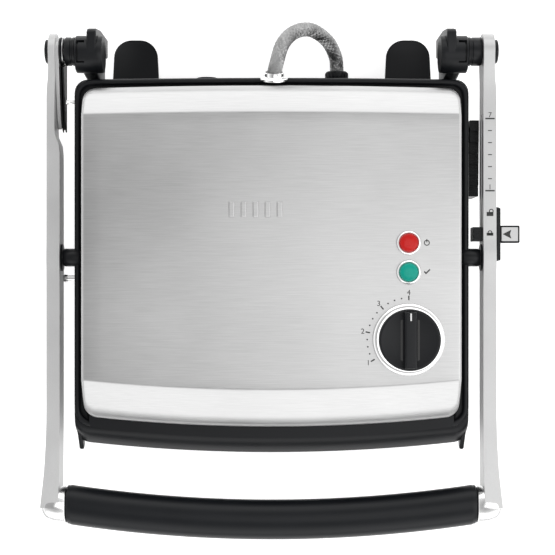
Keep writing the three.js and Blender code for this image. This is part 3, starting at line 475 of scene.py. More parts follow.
def make_cover():
    creases = [c + d for c in (REAR_CREASE, FRONT_CREASE) for d in (-0.9, 0.0, 0.9)]
    rows = sorted(creases + steps_between(-78.0, 104.0, 10) + [-91.0, -95.0, -99.0, 117.0, 120.0])
    sizes = dict(rear_bow=COVER_REAR_BOW, front_bow=COVER_FRONT_BOW, rows=rows, columns=30)
    crown = dict(
        half=COVER_HALF - SIDE_ROLL, rear=COVER_REAR - REAR_ROLL, front=COVER_FRONT + FRONT_ROLL, corner=5.0
    )
    bm = plan_sheet(**crown, **sizes)
    flat = bm.verts.layers.float["flat_y"]
    tag = bm.verts.layers.int.new("place")
    for v in bm.verts:
        v.co.z = cover_height(v[flat])
        for crease, fall in ((REAR_CREASE, REAR_FALL), (FRONT_CREASE, FRONT_FALL)):
            if abs(v[flat] - crease) < 0.1:
                v.co.z -= fall * 0.22
    rim = [e for e in bm.edges if len(e.link_faces) == 1]
    inner, _ = plan_loop(**crown, **sizes)
    outer, _ = plan_loop(half=COVER_HALF, rear=COVER_REAR, front=COVER_FRONT, corner=9.5, **sizes)
    where = {(round(p.x, 2), round(p.y, 2)): i for i, p in enumerate(inner)}
    levels, falls = {}, {}
    for v in {v for e in rim for v in e.verts}:
        v[tag] = where[(round(v.co.x, 2), round(v.co.y, 2))]
        levels[v[tag]] = v.co.z
        falls[v[tag]] = 0.0
        if v[flat] < FRONT_CREASE - 1:
            falls[v[tag]] = FRONT_FALL
        elif v[flat] > REAR_CREASE + 1:
            falls[v[tag]] = REAR_FALL
    for k in range(1, 9):
        turn = math.radians(11.25 * k)

        def rolled(i, turn=turn):
            p = inner[i].lerp(outer[i], math.sin(turn))
            deep = abs(outer[i].y - inner[i].y)
            drop = falls[i] * deep * math.sin(turn) + (3.2 + 0.35 * min(deep, 9.0)) * (1 - math.cos(turn))
            return Vector((p.x, p.y, levels[i] - drop))

        rim = carry(bm, rim, tag, rolled)
    carry(bm, rim, tag, lambda i: Vector((outer[i].x, outer[i].y, COVER_BASE)))
    piece = add_piece("lid_cover_sheet", bm, "lid", "brushed_steel", ["lid_cover"], crease=70)
    sheet = piece.modifiers.new("sheet", "SOLIDIFY")
    sheet.thickness = 1.0 * MM
    sheet.offset = -1.0


def make_emblem():
    """Five short raised bars, like the ribs of a grill plate."""
    bars = [((x, x + 4.5), about(41.5, 6.0), about(COVER_TOP, 0.9)) for x in steps_between(-32.0, 4.0, 4)]
    add_piece("cover_emblem", blocks(*bars), "lid", "brushed_steel", bevel=0.9, segments=4)


make_cover()
make_emblem()


# ---- Lid: frame, visor and bead -----------------------------------------------------------------------

BEAD_RADIUS = 2.4
BEAD_Z = FRAME_TOP - BEAD_RADIUS


def bead_loop(out=0.0):
    """The bead's centreline follows the cover; it touches the lid's outer edge at the sides and rear."""
    return plan_loop(-out, half=150.5, rear=141.5, front=-121.4, corner=10.5, front_bow=8.0, rows=44)


def make_frame():
    outer, well, ledge = plan_loop(rows=44), plan_loop(12.6, rows=44), plan_loop(16.0, rows=44)
    brow = bead_loop(BEAD_RADIUS - 0.6)

    def lip(p):
        return BEAD_Z - 1.0 - 12.0 * soft_step(-118.0, -134.0, p.y)

    def visor(share):
        """A convex fall from the bead to the lip; level along the sides."""
        def height(p):
            front = soft_step(-108.0, -122.0, p.y)
            fallen = BEAD_Z - 0.2 - (BEAD_Z - 0.2 - lip(p)) * share**1.9
            return (BEAD_Z - 1.0) * (1 - front) + fallen * front
        return height

    loops = [(outer, FRAME_BOTTOM), (outer, FRAME_BOTTOM + 1.2), (outer, lambda p: lip(p) - 1.6)]
    for share in (0.985, 0.95, 0.88, 0.78, 0.66, 0.52, 0.38, 0.24, 0.1, 0.0):
        loops.append((between(brow, outer, share), visor(share)))
    loops += [(bead_loop(-1.6), BEAD_Z - 1.8), (bead_loop(-2.6), BEAD_Z - 1.8)]
    inside = plan_loop(
        half=COVER_HALF + 0.5, rear=COVER_REAR, front=COVER_FRONT - 0.6, corner=9.5, rear_bow=COVER_REAR_BOW,
        front_bow=COVER_FRONT_BOW, rows=44,
    )
    loops += [
        (between(bead_loop(-2.6), inside, 0.7), BEAD_Z - 1.8), (inside, BEAD_Z - 1.0), (inside, UPSTAND_TOP),
        (between(inside, well, 0.9), UPSTAND_TOP), (well, FRAME_BOTTOM + 6.0), (ledge, FRAME_BOTTOM + 6.0),
        (ledge, FRAME_BOTTOM),
    ]
    add_piece("lid_frame_body", loft(loops, closed=True), "lid", "black_plastic", ["lid_frame"], crease=50)


def make_bead():
    """The round bead that runs round the cover, just inside the lid's outer edge."""
    loops = []
    for k in range(13):
        turn = math.radians(-25 + 19 * k)
        loops.append((bead_loop(BEAD_RADIUS * math.cos(turn)), BEAD_Z + BEAD_RADIUS * math.sin(turn)))
    add_piece("lid_frame_bead", loft(loops, closed=True), "lid", "black_plastic", crease=60)


def make_cheeks():
    """Side fins that run past the visor and end in small horns."""
    for side, sign in SIDES:
        points = [
            (-100.0, 70.0), (-138.0, 70.0), (-143.0, 73.5), (-144.8, 77.5), (-144.4, 80.5), (-141.0, 82.0),
            (-135.0, 84.5), (-127.0, 88.5), (-119.0, 91.5), (-110.0, 92.6), (-100.0, 92.6),
        ]
        bm = prism(points, 149.2, 152.8)
        for v in bm.verts:
            v.co.x -= 1.6 * soft_step(-118.0, -145.0, v.co.y)
        add_piece(f"visor_fin_{side}", mirrored(bm, sign), "lid", "black_plastic", bevel=1.5, segments=4)


make_frame()
make_bead()
make_cheeks()


# ---- Lid: upper plate ---------------------------------------------------------------------------------

PLATE_INSET, UPPER_UNDER = 16.3, 67.2
RIB_HEIGHT, RIB_PITCH, RIB_WIDTH = 4.8, 12.0, 5.0


def make_upper_plate():
    edge, inside = plan_loop(PLATE_INSET), plan_loop(PLATE_INSET + 0.8)
    loops = [(inside, UPPER_UNDER), (edge, UPPER_UNDER + 0.8), (edge, UPPER_UNDER + 6.0)]
    add_piece("upper_plate_body", loft(loops), "lid", "nonstick", ["upper_grill_plate"], crease=50)
    border = PLATE_INSET + 9.0
    count = int((2 * (HALF_LID - border) - RIB_WIDTH) // RIB_PITCH)
    bm = bmesh.new()
    low, top, wide = UPPER_UNDER - RIB_HEIGHT, UPPER_UNDER + 0.2, RIB_WIDTH / 2
    for i in range(count + 1):
        x = (i - count / 2) * RIB_PITCH
        rib = block(bm, (x - wide, x + wide), (LID_FRONT + border, LID_REAR - border), (low, top))
        for v in rib:
            if v.co.z < (low + top) / 2:
                v.co.x += 1.0 if v.co.x < x else -1.0
                v.co.y += 1.5 if v.co.y < 0 else -1.5
    add_piece("upper_plate_ribs", bm, "lid", "nonstick", bevel=0.9, segments=2)


make_upper_plate()


# ---- Lid: lamps, dial and their marks -----------------------------------------------------------------


def make_lamps():
    ring = [(7.1, 0.1), (9.3, 0.1), (9.4, 0.5), (8.9, 1.4), (8.2, 2.0), (7.7, 2.1), (7.2, 1.7), (7.05, 1.0)]
    lens = [(0, -8.0), (5.9, -8.0), (5.9, 0.4), (6.9, 0.5), (6.9, 1.3), (6.5, 1.8), (5.4, 2.25), (3.4, 2.6)]
    lens += [(1.6, 2.72), (0, 2.75)]
    for name, y in LAMP_YS.items():
        spot = Matrix.Translation((CONTROLS_X, y, COVER_TOP))
        turned_piece(f"{name}_lamp_ring", ring, spot, "lid", "chrome", [f"{name}_lamp_bezel"])
        colour = "red_lens" if name == "power" else "green_lens"
        turned_piece(f"{name}_lamp_dome", lens, spot, "lid", colour, [f"{name}_lamp_lens"], 40, False)


def make_dial():
    """Chromed rim, and a knob whose grip bar has a flat crown; on each side of the bar a flat ink strip paints the
    shade of a groove.
    """
    spot = Matrix.Translation((CONTROLS_X, DIAL_Y, COVER_TOP))
    ring = [(19.5, 0.3), (27.1, 0.3), (27.2, 0.8), (26.8, 1.5), (25.4, 2.3), (24.0, 2.6), (19.5, 2.6)]
    turned_piece("dial_ring", ring, spot, "lid", "chrome", ["dial_bezel"], 72)
    disc = [(0, 3.1), (22.4, 3.1), (23.0, 3.7), (23.0, 9.6), (22.7, 10.4), (22.0, 10.9), (21.2, 10.9)]
    bm = turned(disc + [(20.4, 10.5), (0, 10.4)], spot, 96)
    bar = blocks(((-5.0, 5.0), (-21.6, 21.6), (9.8, 16.8)))
    for v in bar.verts:
        if v.co.z > 12:
            v.co.x *= 0.88
            v.co.y *= 0.965
    edges = [e for e in bar.edges if abs(e.verts[0].co.z - e.verts[1].co.z) < 1e-3 and e.verts[0].co.z > 12]
    bmesh.ops.bevel(bar, geom=edges, affect="EDGES", offset=1.4, segments=4, profile=0.5, material=-1)
    slice_at(bar, 1, steps_between(-20, 20, 16))
    for v in bar.verts:
        reach = math.sqrt(max(21.5**2 - v.co.x**2, 0.0))
        v.co.y = max(min(v.co.y, reach), -reach)
    merge_in(bm, bar, spot)
    add_piece("dial_cap", bm, "dial", "black_plastic", ["dial_knob"], crease=45)
    pointer = blocks(((-0.55, 0.55), (14.5, 20.0), (16.75, 16.95)))
    pointer.transform(spot)
    add_piece("dial_pointer", pointer, "dial", "ceramic_white")
    # Flat ink strips flush with the knob's face, with no recess: painted shade standing for a groove on each side
    # of the bar.
    reach = math.sqrt(19.4**2 - 6.3**2)
    groove_shade = blocks(*[((x - 0.8, x + 0.8), (-reach, reach), (10.2, 10.48)) for x in (-6.3, 6.3)])
    groove_shade.transform(spot)
    add_piece("dial_groove_shade", groove_shade, "dial", "print_ink")


def curve_to_bmesh(curve):
    """The evaluated mesh of a curve or of text."""
    holder = put_in_scene("curve", curve)
    mesh = bpy.data.meshes.new_from_object(holder.evaluated_get(bpy.context.evaluated_depsgraph_get()))
    bpy.data.objects.remove(holder)
    bm = bmesh.new()
    bm.from_mesh(mesh)
    bpy.data.meshes.remove(mesh)
    return bm


def flat_text(words, size, spot):
    """Raised print: digits as a thin solid."""
    curve = bpy.data.curves.new("print", "FONT")
    curve.body = words
    curve.size = size
    curve.align_x = curve.align_y = "CENTER"
    curve.extrude = 0.04
    bm = curve_to_bmesh(curve)
    bm.transform(Matrix.Translation(spot))
    return bm


def make_cover_marks():
    """The dial's scale, and a sign beside each lamp."""
    bm = bmesh.new()
    radius, level, thick = 31.2, COVER_TOP - 0.04, 0.12
    for i in range(13):
        turn = math.radians(90 + 10 * i)
        spot = Matrix.Translation((CONTROLS_X, DIAL_Y, level)) @ Matrix.Rotation(turn, 4, "Z")
        if i % 4 == 0:
            merge_in(bm, blocks(((radius - 1.7, radius + 1.7), (-0.5, 0.5), (0, thick))), spot)
            reach = radius + 3.9
            place = (CONTROLS_X + reach * math.cos(turn), DIAL_Y + reach * math.sin(turn), COVER_TOP + 0.06)
            merge_in(bm, flat_text(str(4 - i // 4), 5.6, place))
        else:
            dot = [(0, 0), (0.62, 0), (0.62, thick), (0, thick)]
            merge_in(bm, turned(dot, Matrix.Translation((radius, 0, 0)), 12), spot)
    # a ring with a bar beside the power lamp, and a tick beside the ready lamp
    arc = bmesh.new()
    ring = [(1.5, 0), (2.2, 0), (2.2, thick), (1.5, thick)]
    merge_in(arc, turned(ring, Matrix.Identity(4), 28, closed=True))
    block(arc, (-0.35, 0.35), (0.3, 2.8), (0, 0.13))
    merge_in(bm, arc, Matrix.Translation((CONTROLS_X + 13.5, LAMP_YS["power"], level)))
    outline = [(-2.3, 0.2), (-1.6, 0.9), (-0.6, -0.2), (2.0, 2.4), (2.7, 1.7), (-0.6, -1.6)]
    tick = prism(outline, 0, thick, "Z")
    merge_in(bm, tick, Matrix.Translation((CONTROLS_X + 13.5, LAMP_YS["ready"], level)))
    add_piece("cover_marks", bm, "lid", "print_ink")


make_lamps()
make_dial()
make_cover_marks()


# ---- Lid: side pivots, pins and the lead's flange -----------------------------------------------------


def make_pivots():
    boss = [(3.6, -9.6), (4.5, -9.6), (4.7, -9.2), (4.7, -5.6), (5.2, -5.2), (6.6, -5.2), (7.0, -4.7)]
    boss += [(7.0, 6.8), (6.5, 7.4), (6.5, 8.2), (3.6, 8.2)]
    washer = [(3.7, 0), (10.0, 0), (10.5, 0.3), (10.5, 0.8), (3.7, 0.8)]
    kinds = (
        ("sleeve", boss, HALF_LID + 0.3, 40, "lid", "boss"), ("flange", washer, 162.0, 48, "arms", "washer"),
    )
    for side, sign in SIDES:
        for name, profile, x, sides, body, node in kinds:
            place = sideways(sign * x, PIVOT_Y, AXIS_Z, sign)
            stands_for = [f"pivot_{node}_{side}"]
            turned_piece(f"pivot_{name}_{side}", profile, place, body, "black_plastic", stands_for, sides)
    guide = [(0, -3), (2.3, -3), (2.3, 0.6), (2.0, 1.4), (1.5, 2.4), (1.5, 6.0), (1.9, 7.6), (2.1, 8.2)]
    guide += [(2.0, 8.8), (0, 9.0)]
    stop = [(0, 0), (2.4, 0), (2.4, 9.0), (2.9, 9.4), (2.9, 11.4), (2.4, 12.0), (1.6, 12.6), (0, 12.8)]
    for name, profile, x, y, node in (
        ("guide", guide, -151.2, HINGE_Y - 39.0, "rear_guide_pin"),
        ("stop", stop, -149.8, PIVOT_Y - 16.0, "tilt_stop_pin"),
    ):
        place = sideways(x, y, FRAME_TOP - 6.5, -1)
        turned_piece(f"{name}_stud", profile, place, "lid", "chrome", [node], 24, False)


GROMMET_SPOT = Vector((2.0, LID_REAR + REAR_BOW - 2.2, UPSTAND_TOP + 4.0))
GROMMET_TILT = math.radians(20)


def make_flange():
    """Polished oval flange on the lid's rear rim; its axis points back and up."""
    profile = [
        (6.75, -1.5), (10.0, -1.5), (10.5, -1.1), (10.5, 0.2), (9.9, 0.9), (8.6, 1.3), (8.0, 1.6), (7.7, 2.2),
        (7.7, 4.4), (7.3, 5.0), (6.75, 5.0),
    ]
    lean = Matrix.Rotation(GROMMET_TILT, 4, "X") @ Matrix.Rotation(-math.pi / 2, 4, "X")
    stand = Matrix.Translation(GROMMET_SPOT) @ lean
    turned_piece("lead_flange", profile, stand, "lid", "chrome", ["lid_grommet"], 56)


make_pivots()
make_flange()


# ---- Arms ---------------------------------------------------------------------------------------------

SLOT_FRONT, SLOT_REAR, SLOT_HALF = 19.1, 116.9, 2.9
EYE = 13.6


def arm_stations():
    """Places along the arm, closer together where its outline curves."""
    straight = steps_between(GRIP_Y, 152.0, 46)
    extra = [SLOT_FRONT, SLOT_REAR, PIVOT_Y - 9, PIVOT_Y - 5, PIVOT_Y + 5, PIVOT_Y + 9]
    eye = [HINGE_Y + EYE * math.sin(math.radians(a)) for a in range(-50, 90, 10)] + [HINGE_Y + EYE - 0.04]
    return sorted(set(straight + extra + eye))


def arm_half_height(y):
    eye = math.sqrt(max(EYE**2 - (y - HINGE_Y) ** 2, 0.02))
    if y > HINGE_Y - 4:
        return eye
    beam = 10.0
    lug = beam + 1.3 * math.exp(-(((y - PIVOT_Y) / 9.0) ** 2))
    joined = lug + (EYE - 10.6) * soft_step(HINGE_Y - 26.0, HINGE_Y - 4.0, y)
    front = 2.6 * soft_step(GRIP_Y + 34.0, GRIP_Y, y)
    return min(joined, EYE) + front


def flare(y):
    t = min(max((GRIP_Y + 80.0 - y) / 80.0, 0.0), 1.0)
    return 4.7 * t * t


def make_arm(side, sign):
    stations = arm_stations()
    count = len(stations) - 1
    bm = bmesh.new()
    bmesh.ops.create_grid(bm, x_segments=count, y_segments=3, size=1.0)
    for v in bm.verts:
        y = stations[round((v.co.x + 1) / 2 * count)]
        row = round((v.co.y + 1) / 2 * 3)
        half = arm_half_height(y)
        z = (-half, -min(SLOT_HALF, half * 0.4), min(SLOT_HALF, half * 0.4), half)[row]
        v.co = (ARM_INNER, y, AXIS_Z + z)
    if side == "right":
        cut_away(bm, lambda c, n: abs(c.z - AXIS_Z) < 1.0 and SLOT_FRONT < c.y < SLOT_REAR)
    outer = set(verts_of(bmesh.ops.extrude_face_region(bm, geom=bm.faces[:])["geom"]))
    for v in bm.verts:
        if v in outer:
            v.co.x = ARM_OUTER
        elif side == "left":
            v.co.x += 4.0 * soft_step(92.0, 97.0, v.co.y)

    def rounded(e):
        """Long outer edges, and not those of the slot."""
        if len(e.link_faces) != 2 or e.calc_face_angle(0) <= 0.9:
            return False
        return min(abs(v.co.z - AXIS_Z) for v in e.verts) > 3.2 or e.verts[0].co.y > HINGE_Y + 8

    bmesh.ops.bevel(
        bm, geom=[e for e in bm.edges if rounded(e)], affect="EDGES", offset=2.8, segments=5, profile=0.5,
        material=-1, clamp_overlap=True,
    )
    for v in bm.verts:
        outward = (v.co.x - ARM_INNER) / (ARM_OUTER - ARM_INNER)
        thinner = 1.4 * outward * soft_step(HINGE_Y - 34.0, HINGE_Y - 14.0, v.co.y)
        v.co.x += flare(v.co.y) * (0.2 + 0.8 * outward) - thinner
    piece = add_piece(f"arm_{side}", mirrored(bm, sign), "arms", "cast_alloy", [f"{side}_arm"], crease=60)
    even = piece.modifiers.new("even_normals", "WEIGHTED_NORMAL")
    even.keep_sharp = True


def make_knuckle(side, sign):
    """Oval end block of the arm that the grip's core runs into."""
    profile = [(0, 0), (0.93, 0), (1.0, 0.05), (1.0, 0.5), (0.985, 0.76), (0.94, 0.9), (0.84, 0.97), (0.6, 1.0)]
    profile.append((0, 1.0))
    length = KNUCKLE_OUTER - KNUCKLE_INNER
    bm = turned([(r, h * length) for r, h in profile], Matrix.Identity(4), 48)
    bm.transform(sideways(KNUCKLE_INNER, GRIP_Y, AXIS_Z) @ Matrix.Diagonal((13.0, 15.0, 1.0, 1.0)))
    for v in bm.verts:
        # the front face leans back towards the outer end
        share = (v.co.x - KNUCKLE_INNER) / length
        if v.co.y < GRIP_Y:
            v.co.y += 3.5 * share * share
    add_piece(f"knuckle_{side}", mirrored(bm, sign), "arms", "polished_alloy", [f"{side}_arm"], crease=50)


def grip_bow(x):
    return -12.0 * (1 - (x / KNUCKLE_INNER) ** 2)


def make_grip():
    """Bowed oval grip with a soft skin and stepped ends."""
    end = KNUCKLE_INNER - 0.3
    profile = [(0, -end), (0.9, -end), (0.97, 0.8 - end), (0.97, 2.2 - end), (1.0, 3.2 - end)]
    profile += [(1.0, x) for x in steps_between(4.0 - end, end - 4.0, 60)]
    profile += [(1.0, end - 3.2), (0.97, end - 2.2), (0.97, end - 0.8), (0.9, end), (0, end)]
    bm = turned(profile, Matrix.Identity(4), 48)
    bm.transform(sideways(0, 0, 0) @ Matrix.Diagonal((12.6, 15.4, 1.0, 1.0)))
    for v in bm.verts:
        v.co.y += GRIP_Y + 1.0 + grip_bow(v.co.x)
        v.co.z += AXIS_Z
    add_piece("grip_sleeve", bm, "arms", "soft_grip", ["grip"], crease=50)


def make_hinge_caps():
    cap = [(0, -1.2), (8.8, -1.2), (9.2, -0.8), (9.2, 1.2), (8.7, 1.7), (7.4, 2.0), (0, 2.0)]
    for side, sign in SIDES:
        place = sideways(sign * (ARM_OUTER + 0.3), HINGE_Y, AXIS_Z, sign)
        turned_piece(f"hinge_button_{side}", cap, place, "arms", "black_plastic", [f"hinge_cap_{side}"], 48, False)


def make_arm_marks():
    """Height scale, a closed and an open padlock, printed on the right arm's top."""
    top = AXIS_Z + 10.0
    level = (top - 0.03, top + 0.08)
    x = (ARM_INNER + ARM_OUTER) / 2
    first, pitch, count = 57.3, 9.25, 6
    bm = bmesh.new()
    for i in range(count + 1):
        y = first + pitch * i
        half, thick = (3.6, 1.1) if i in (0, count) else (1.5, 0.7)
        block(bm, (x - half, x + half), (y - thick / 2, y + thick / 2), level)
    for digit, y in (("7", first + pitch * count), ("1", first)):
        merge_in(bm, flat_text(digit, 5.6, (x, y + 2.7, top + 0.04)))
    ring = [(1.1, 0), (1.8, 0), (1.8, 0.1), (1.1, 0.1)]
    for y, lift, swing in ((40.0, 1.1, 1.0), (24.0, 0.0, 0.0)):
        block(bm, (x - 2.6, x + 2.6), (y - 2.2, y + 0.9), level)
        shackle = turned(ring, Matrix.Identity(4), 28, closed=True)
        merge_in(bm, shackle, Matrix.Translation((x + swing, y + 1.0 + lift * 0.5, top - 0.02)))
    add_piece("arm_marks", bm, "arms", "print_ink")


for arm_side, arm_sign in SIDES:
    make_arm(arm_side, arm_sign)
    make_knuckle(arm_side, arm_sign)
make_grip()
make_hinge_caps()
make_arm_marks()


# ---- Height slider ------------------------------------------------------------------------------------

SLIDER_Y = PIVOT_Y + 18.0


def make_slider():
    """Plate, framed cap with an arrow, and a ribbed finger on the arm's inner side."""
    plate_x = ARM_OUTER + 0.4
    cap_x = plate_x + 3.5
    bm = blocks(((plate_x, plate_x + 3.2), about(SLIDER_Y, 21.0), (84.0, 100.0)))
    for v in bm.verts:
        if v.co.x > plate_x + 1:
            v.co.y += 0.8 if v.co.y < SLIDER_Y else -0.8
    add_piece("slider_base", bm, "slider", "black_plastic", ["slider_plate"], bevel=0.7)
    bm = blocks(((cap_x, cap_x + 14.9), about(SLIDER_Y, 6.75), (86.0, 97.6)))
    add_piece("slider_frame", bm, "slider", "black_plastic", ["slider_button"], bevel=0.9)
    bm = blocks(((cap_x + 0.6, cap_x + 13.5), about(SLIDER_Y, 5.4), (96.8, 98.0)))
    add_piece("slider_cap", bm, "slider", "cast_alloy", bevel=0.45)
    tip = cap_x + 1.6
    arrow = [(tip, SLIDER_Y), (tip + 6.6, SLIDER_Y + 3.4), (tip + 5.6, SLIDER_Y), (tip + 6.6, SLIDER_Y - 3.4)]
    add_piece("slider_arrow", prism(arrow, 97.9, 98.08, "Z"), "slider", "print_ink")
    ribs = [((156.1, 162.2), about(SLIDER_Y + y, 0.5), (98.8, 99.9)) for y in (-2.7, 0.0, 2.7)]
    bm = blocks(((155.6, 162.7), about(SLIDER_Y, 5.5), (84.0, 99.0)), *ribs)
    add_piece("slider_grip_finger", bm, "slider", "black_plastic", ["slider_finger"], bevel=0.4)


make_slider()


# ---- Towers, collars, guide plate and ramp ------------------------------------------------------------


def make_barrel():
    """Hinge barrel with a hooked groove pressed into its top."""
    slices = [0.0, 0.8, 4.0, 8.0, 11.5, 13.4, 14.8, 18.0, 19.6, 20.4, 21.0]
    profile = [(0, 0)] + [(14.4 if 0.5 < s < 20.7 else 13.8, s) for s in slices] + [(0, 21.0)]
    start, centre, groove_depth = 130.5, HINGE_Y - 2.2, 2.2
    bm = turned(profile, sideways(start, centre, AXIS_Z), 72)

    def grooved(face):
        c = face.calc_center_median()
        along, turn = c.x - start, math.degrees(math.atan2(c.y - centre, c.z - AXIS_Z))
        if abs(turn) > 45 or math.hypot(c.y - centre, c.z - AXIS_Z) < 13.7:
            return False
        end_run = 18.0 < along < 19.6 and -34 < turn < 39
        return end_run or 13.4 < along < 19.6 and (-36 < turn < -29 or 31 < turn < 40)

    groove = [f for f in bm.faces if grooved(f)]
    for v in verts_of(bmesh.ops.extrude_face_region(bm, geom=groove)["geom"]):
        out = Vector((0, v.co.y - centre, v.co.z - AXIS_Z)).normalized()
        v.co -= out * groove_depth
    bmesh.ops.delete(bm, geom=groove, context="FACES_ONLY")
    return bm


def make_tower(side, sign):
    """Hinge housing, the web that carries it, its storage fin and the collar beside the arm."""
    low, rear = 34.3, STORAGE_Y
    bm = mirrored(make_barrel(), sign)
    add_piece(f"tower_barrel_{side}", bm, "base", "black_plastic", [f"hinge_tower_{side}"], crease=40)
    web = [
        (REAR_WALL + 0.3, low), (178.0, low), (177.5, 80.0), (175.5, 90.0), (152.0, 92.0), (149.5, 84.0),
        (147.0, 62.0), (142.5, 50.0), (REAR_WALL + 0.3, 48.0),
    ]
    bm = mirrored(prism(web, 136.8, 147.4), sign)
    add_piece(f"tower_web_{side}", bm, "base", "black_plastic", bevel=1.6, segments=4)
    fin = [
        (170.0, low + 0.5), (rear, low + 0.5), (rear, 76.0), (rear - 2.6, 98.0), (rear - 3.8, 103.6),
        (rear - 6.0, 106.3), (163.0, 106.4), (160.0, 104.5), (164.0, 96.0),
    ]
    bm = mirrored(prism(fin, 134.6, 142.0), sign)
    add_piece(f"tower_fin_{side}", bm, "base", "black_plastic", bevel=1.3, segments=3)
    reach = 10.9 if side == "right" else 8.2
    collar = [(4.2, 0), (10.4, 0), (11.0, 0.5), (11.0, 2.2), (10.5, 2.6), (10.5, 3.4), (11.0, 3.8)]
    collar += [(11.0, reach - 0.6), (10.4, reach), (4.2, reach)]
    place = sideways(sign * 151.8, HINGE_Y, AXIS_Z, sign)
    turned_piece(f"collar_{side}", collar, place, "base", "black_plastic", [f"hinge_collar_{side}"])


def make_guide():
    """Folded steel blade beside the left arm; a dark channel on its inner side guides the lid's stud."""
    eye = []
    for turn in range(-90, 91, 15):
        a = math.radians(turn)
        eye.append((HINGE_Y + 10.8 * math.cos(a), AXIS_Z + 10.2 * math.sin(a)))
    outline = ((13.0, 100.5), (34.0, 96.0), (52.0, 91.0), (60.0, 86.0), (58.0, 81.8))
    tail = [(HINGE_Y - y, z) for y, z in outline]
    blade = prism(eye + tail, -166.8, -164.0)
    add_piece("guide_blade", blade, "base", "cast_alloy", ["left_guide_plate"], bevel=0.5)
    channel = [(y, z - 1.2) for y, z in tail[:-1]] + [(HINGE_Y - 62.0, 82.4), (HINGE_Y - 8.0, 82.4)]
    bm = prism(channel, -163.8, -162.7)
    prism(channel, -161.6, -160.4, bm=bm)
    block(bm, (-163.8, -160.4), (HINGE_Y - 60.0, HINGE_Y - 10.0), (82.4, 85.4))
    add_piece("guide_leaves", bm, "base", "black_plastic", bevel=0.3, segments=2)
    for name, start, end, finish_name in (
        ("dark", 162.3, 163.8, "black_plastic"), ("bright", 160.8, 161.8, "bright_steel"),
    ):
        thick = end - start
        ring = [(4.6, 0), (10.6, 0), (11.0, 0.3), (11.0, thick - 0.2), (10.7, thick), (4.6, thick)]
        turned_piece(f"left_washer_{name}", ring, sideways(-start, HINGE_Y, AXIS_Z, -1), "base", finish_name)


def make_ramp():
    """Stepped rack on the base's right side, ribbed across; its lower steps reach further out."""
    inner, outer, front, pitch, rise, top, count = 155.3, 162.6, 55.0, 8.4, 2.6, 83.6, 7
    rear = front + count * pitch
    points, ribs = [(front, 32.0)], []
    for i in range(count):
        y, level = front + i * pitch, top - (count - 1 - i) * rise
        points += [(y, level), (front + (i + 1) * pitch, level)]
        for share in (0.22, 0.5, 0.78):
            centre = front + (i + share) * pitch
            ribs.append(((inner + 0.8, outer - 0.8), about(centre, 0.6), (level - 1, level + 0.3)))
    bm = prism(points + [(rear, 32.0)], inner, outer)
    slice_at(bm, 1, [front + i * pitch for i in range(1, count)])
    for v in bm.verts:
        if v.co.x > inner + 1:
            v.co.x += min(0.12 * (top - v.co.z), 1.8)
    block(bm, (149.0, inner + 0.5), (front, rear), (32.0, 46.0))
    add_piece("ramp_rack", bm, "base", "black_plastic", ["height_ramp"], bevel=0.4, segments=2)
    add_piece("ramp_ribs", blocks(*ribs), "base", "black_plastic", bevel=0.2, segments=2)


for tower_side, tower_sign in SIDES:
    make_tower(tower_side, tower_sign)
make_guide()
make_ramp()


# ---- Lugs and glands ----------------------------------------------------------------------------------


def make_lugs():
    """Flat hooks for winding the cord, each with a raised border and a stem beneath."""
    reach, round_end, half = STORAGE_Y - REAR_WALL - 0.3, 14.5, 18.0
    stem = [(-8.0, 0.0), (8.0, 0.0), (7.2, 12.0), (4.5, 18.5), (-4.5, 18.5), (-7.2, 12.0)]
    points = [(half + 1.5, 0.0), (half, reach - round_end)]
    for turn in range(10, 91, 10):
        a = math.radians(turn)
        x, y = half - round_end + round_end * math.cos(a), reach - round_end + round_end * math.sin(a)
        points.append((x, y))
    points += [(-x, y) for x, y in reversed(points)]
    for side, sign in SIDES:
        bm = prism(points, 30.0, 34.0, "Z")
        top = [f for f in bm.faces if abs(f.normal.z) > 0.9 and f.calc_center_median().z > 33]
        bmesh.ops.inset_region(bm, faces=top, thickness=2.0, use_even_offset=True)
        bmesh.ops.translate(bm, verts=list({v for f in top for v in f.verts}), vec=(0, 0, -0.7))
        prism(stem, 10.0, 30.5, "Z", bm)
        bm.transform(Matrix.Translation((sign * (HALF_LID - 41.2), REAR_WALL + 0.3, 0)))
        add_piece(f"lug_{side}", bm, "base", "black_plastic", [f"cord_lug_{side}"], bevel=0.6)


def make_glands():
    """Collars on the rear wall, each with a toothed sleeve and a six-sided nut."""
    for name, x, length in (("lead_gland", 53.0, 18.0), ("mains_inlet_gland", -53.0, 13.0)):
        stand = Matrix.Translation((x, REAR_WALL + 0.3, 38.0)) @ Matrix.Rotation(-math.pi / 2, 4, "X")
        profile = [(6.2, 0), (9.6, 0), (9.6, 3.8), (8.4, 4.4), (8.4, length - 6.0), (9.0, length - 5.4)]
        profile += [(9.0, length - 0.8), (8.4, length), (6.2, length)]
        turned_piece(f"{name}_body", profile, stand, "base", "black_plastic", [name])
        teeth, count = bmesh.new(), 18
        for i in range(count):
            tooth = blocks(((8.6, 9.5), (-0.8, 0.8), (length - 5.2, length - 1.0)))
            merge_in(teeth, tooth, Matrix.Rotation(math.tau * i / count, 4, "Z"))
        teeth.transform(stand)
        add_piece(f"{name}_teeth", teeth, "base", "black_plastic", bevel=0.2, segments=2)
        nut = bmesh.new()
        bmesh.ops.create_cone(nut, cap_ends=True, segments=6, radius1=10.9, radius2=10.9, depth=3.4)
        nut.transform(stand @ Matrix.Translation((0, 0, 2.0)))
        add_piece(f"{name}_nut", nut, "base", "black_plastic", bevel=0.5)


make_lugs()
make_glands()


# ---- Braided lead -------------------------------------------------------------------------------------

LEAD_RADIUS = 5.6


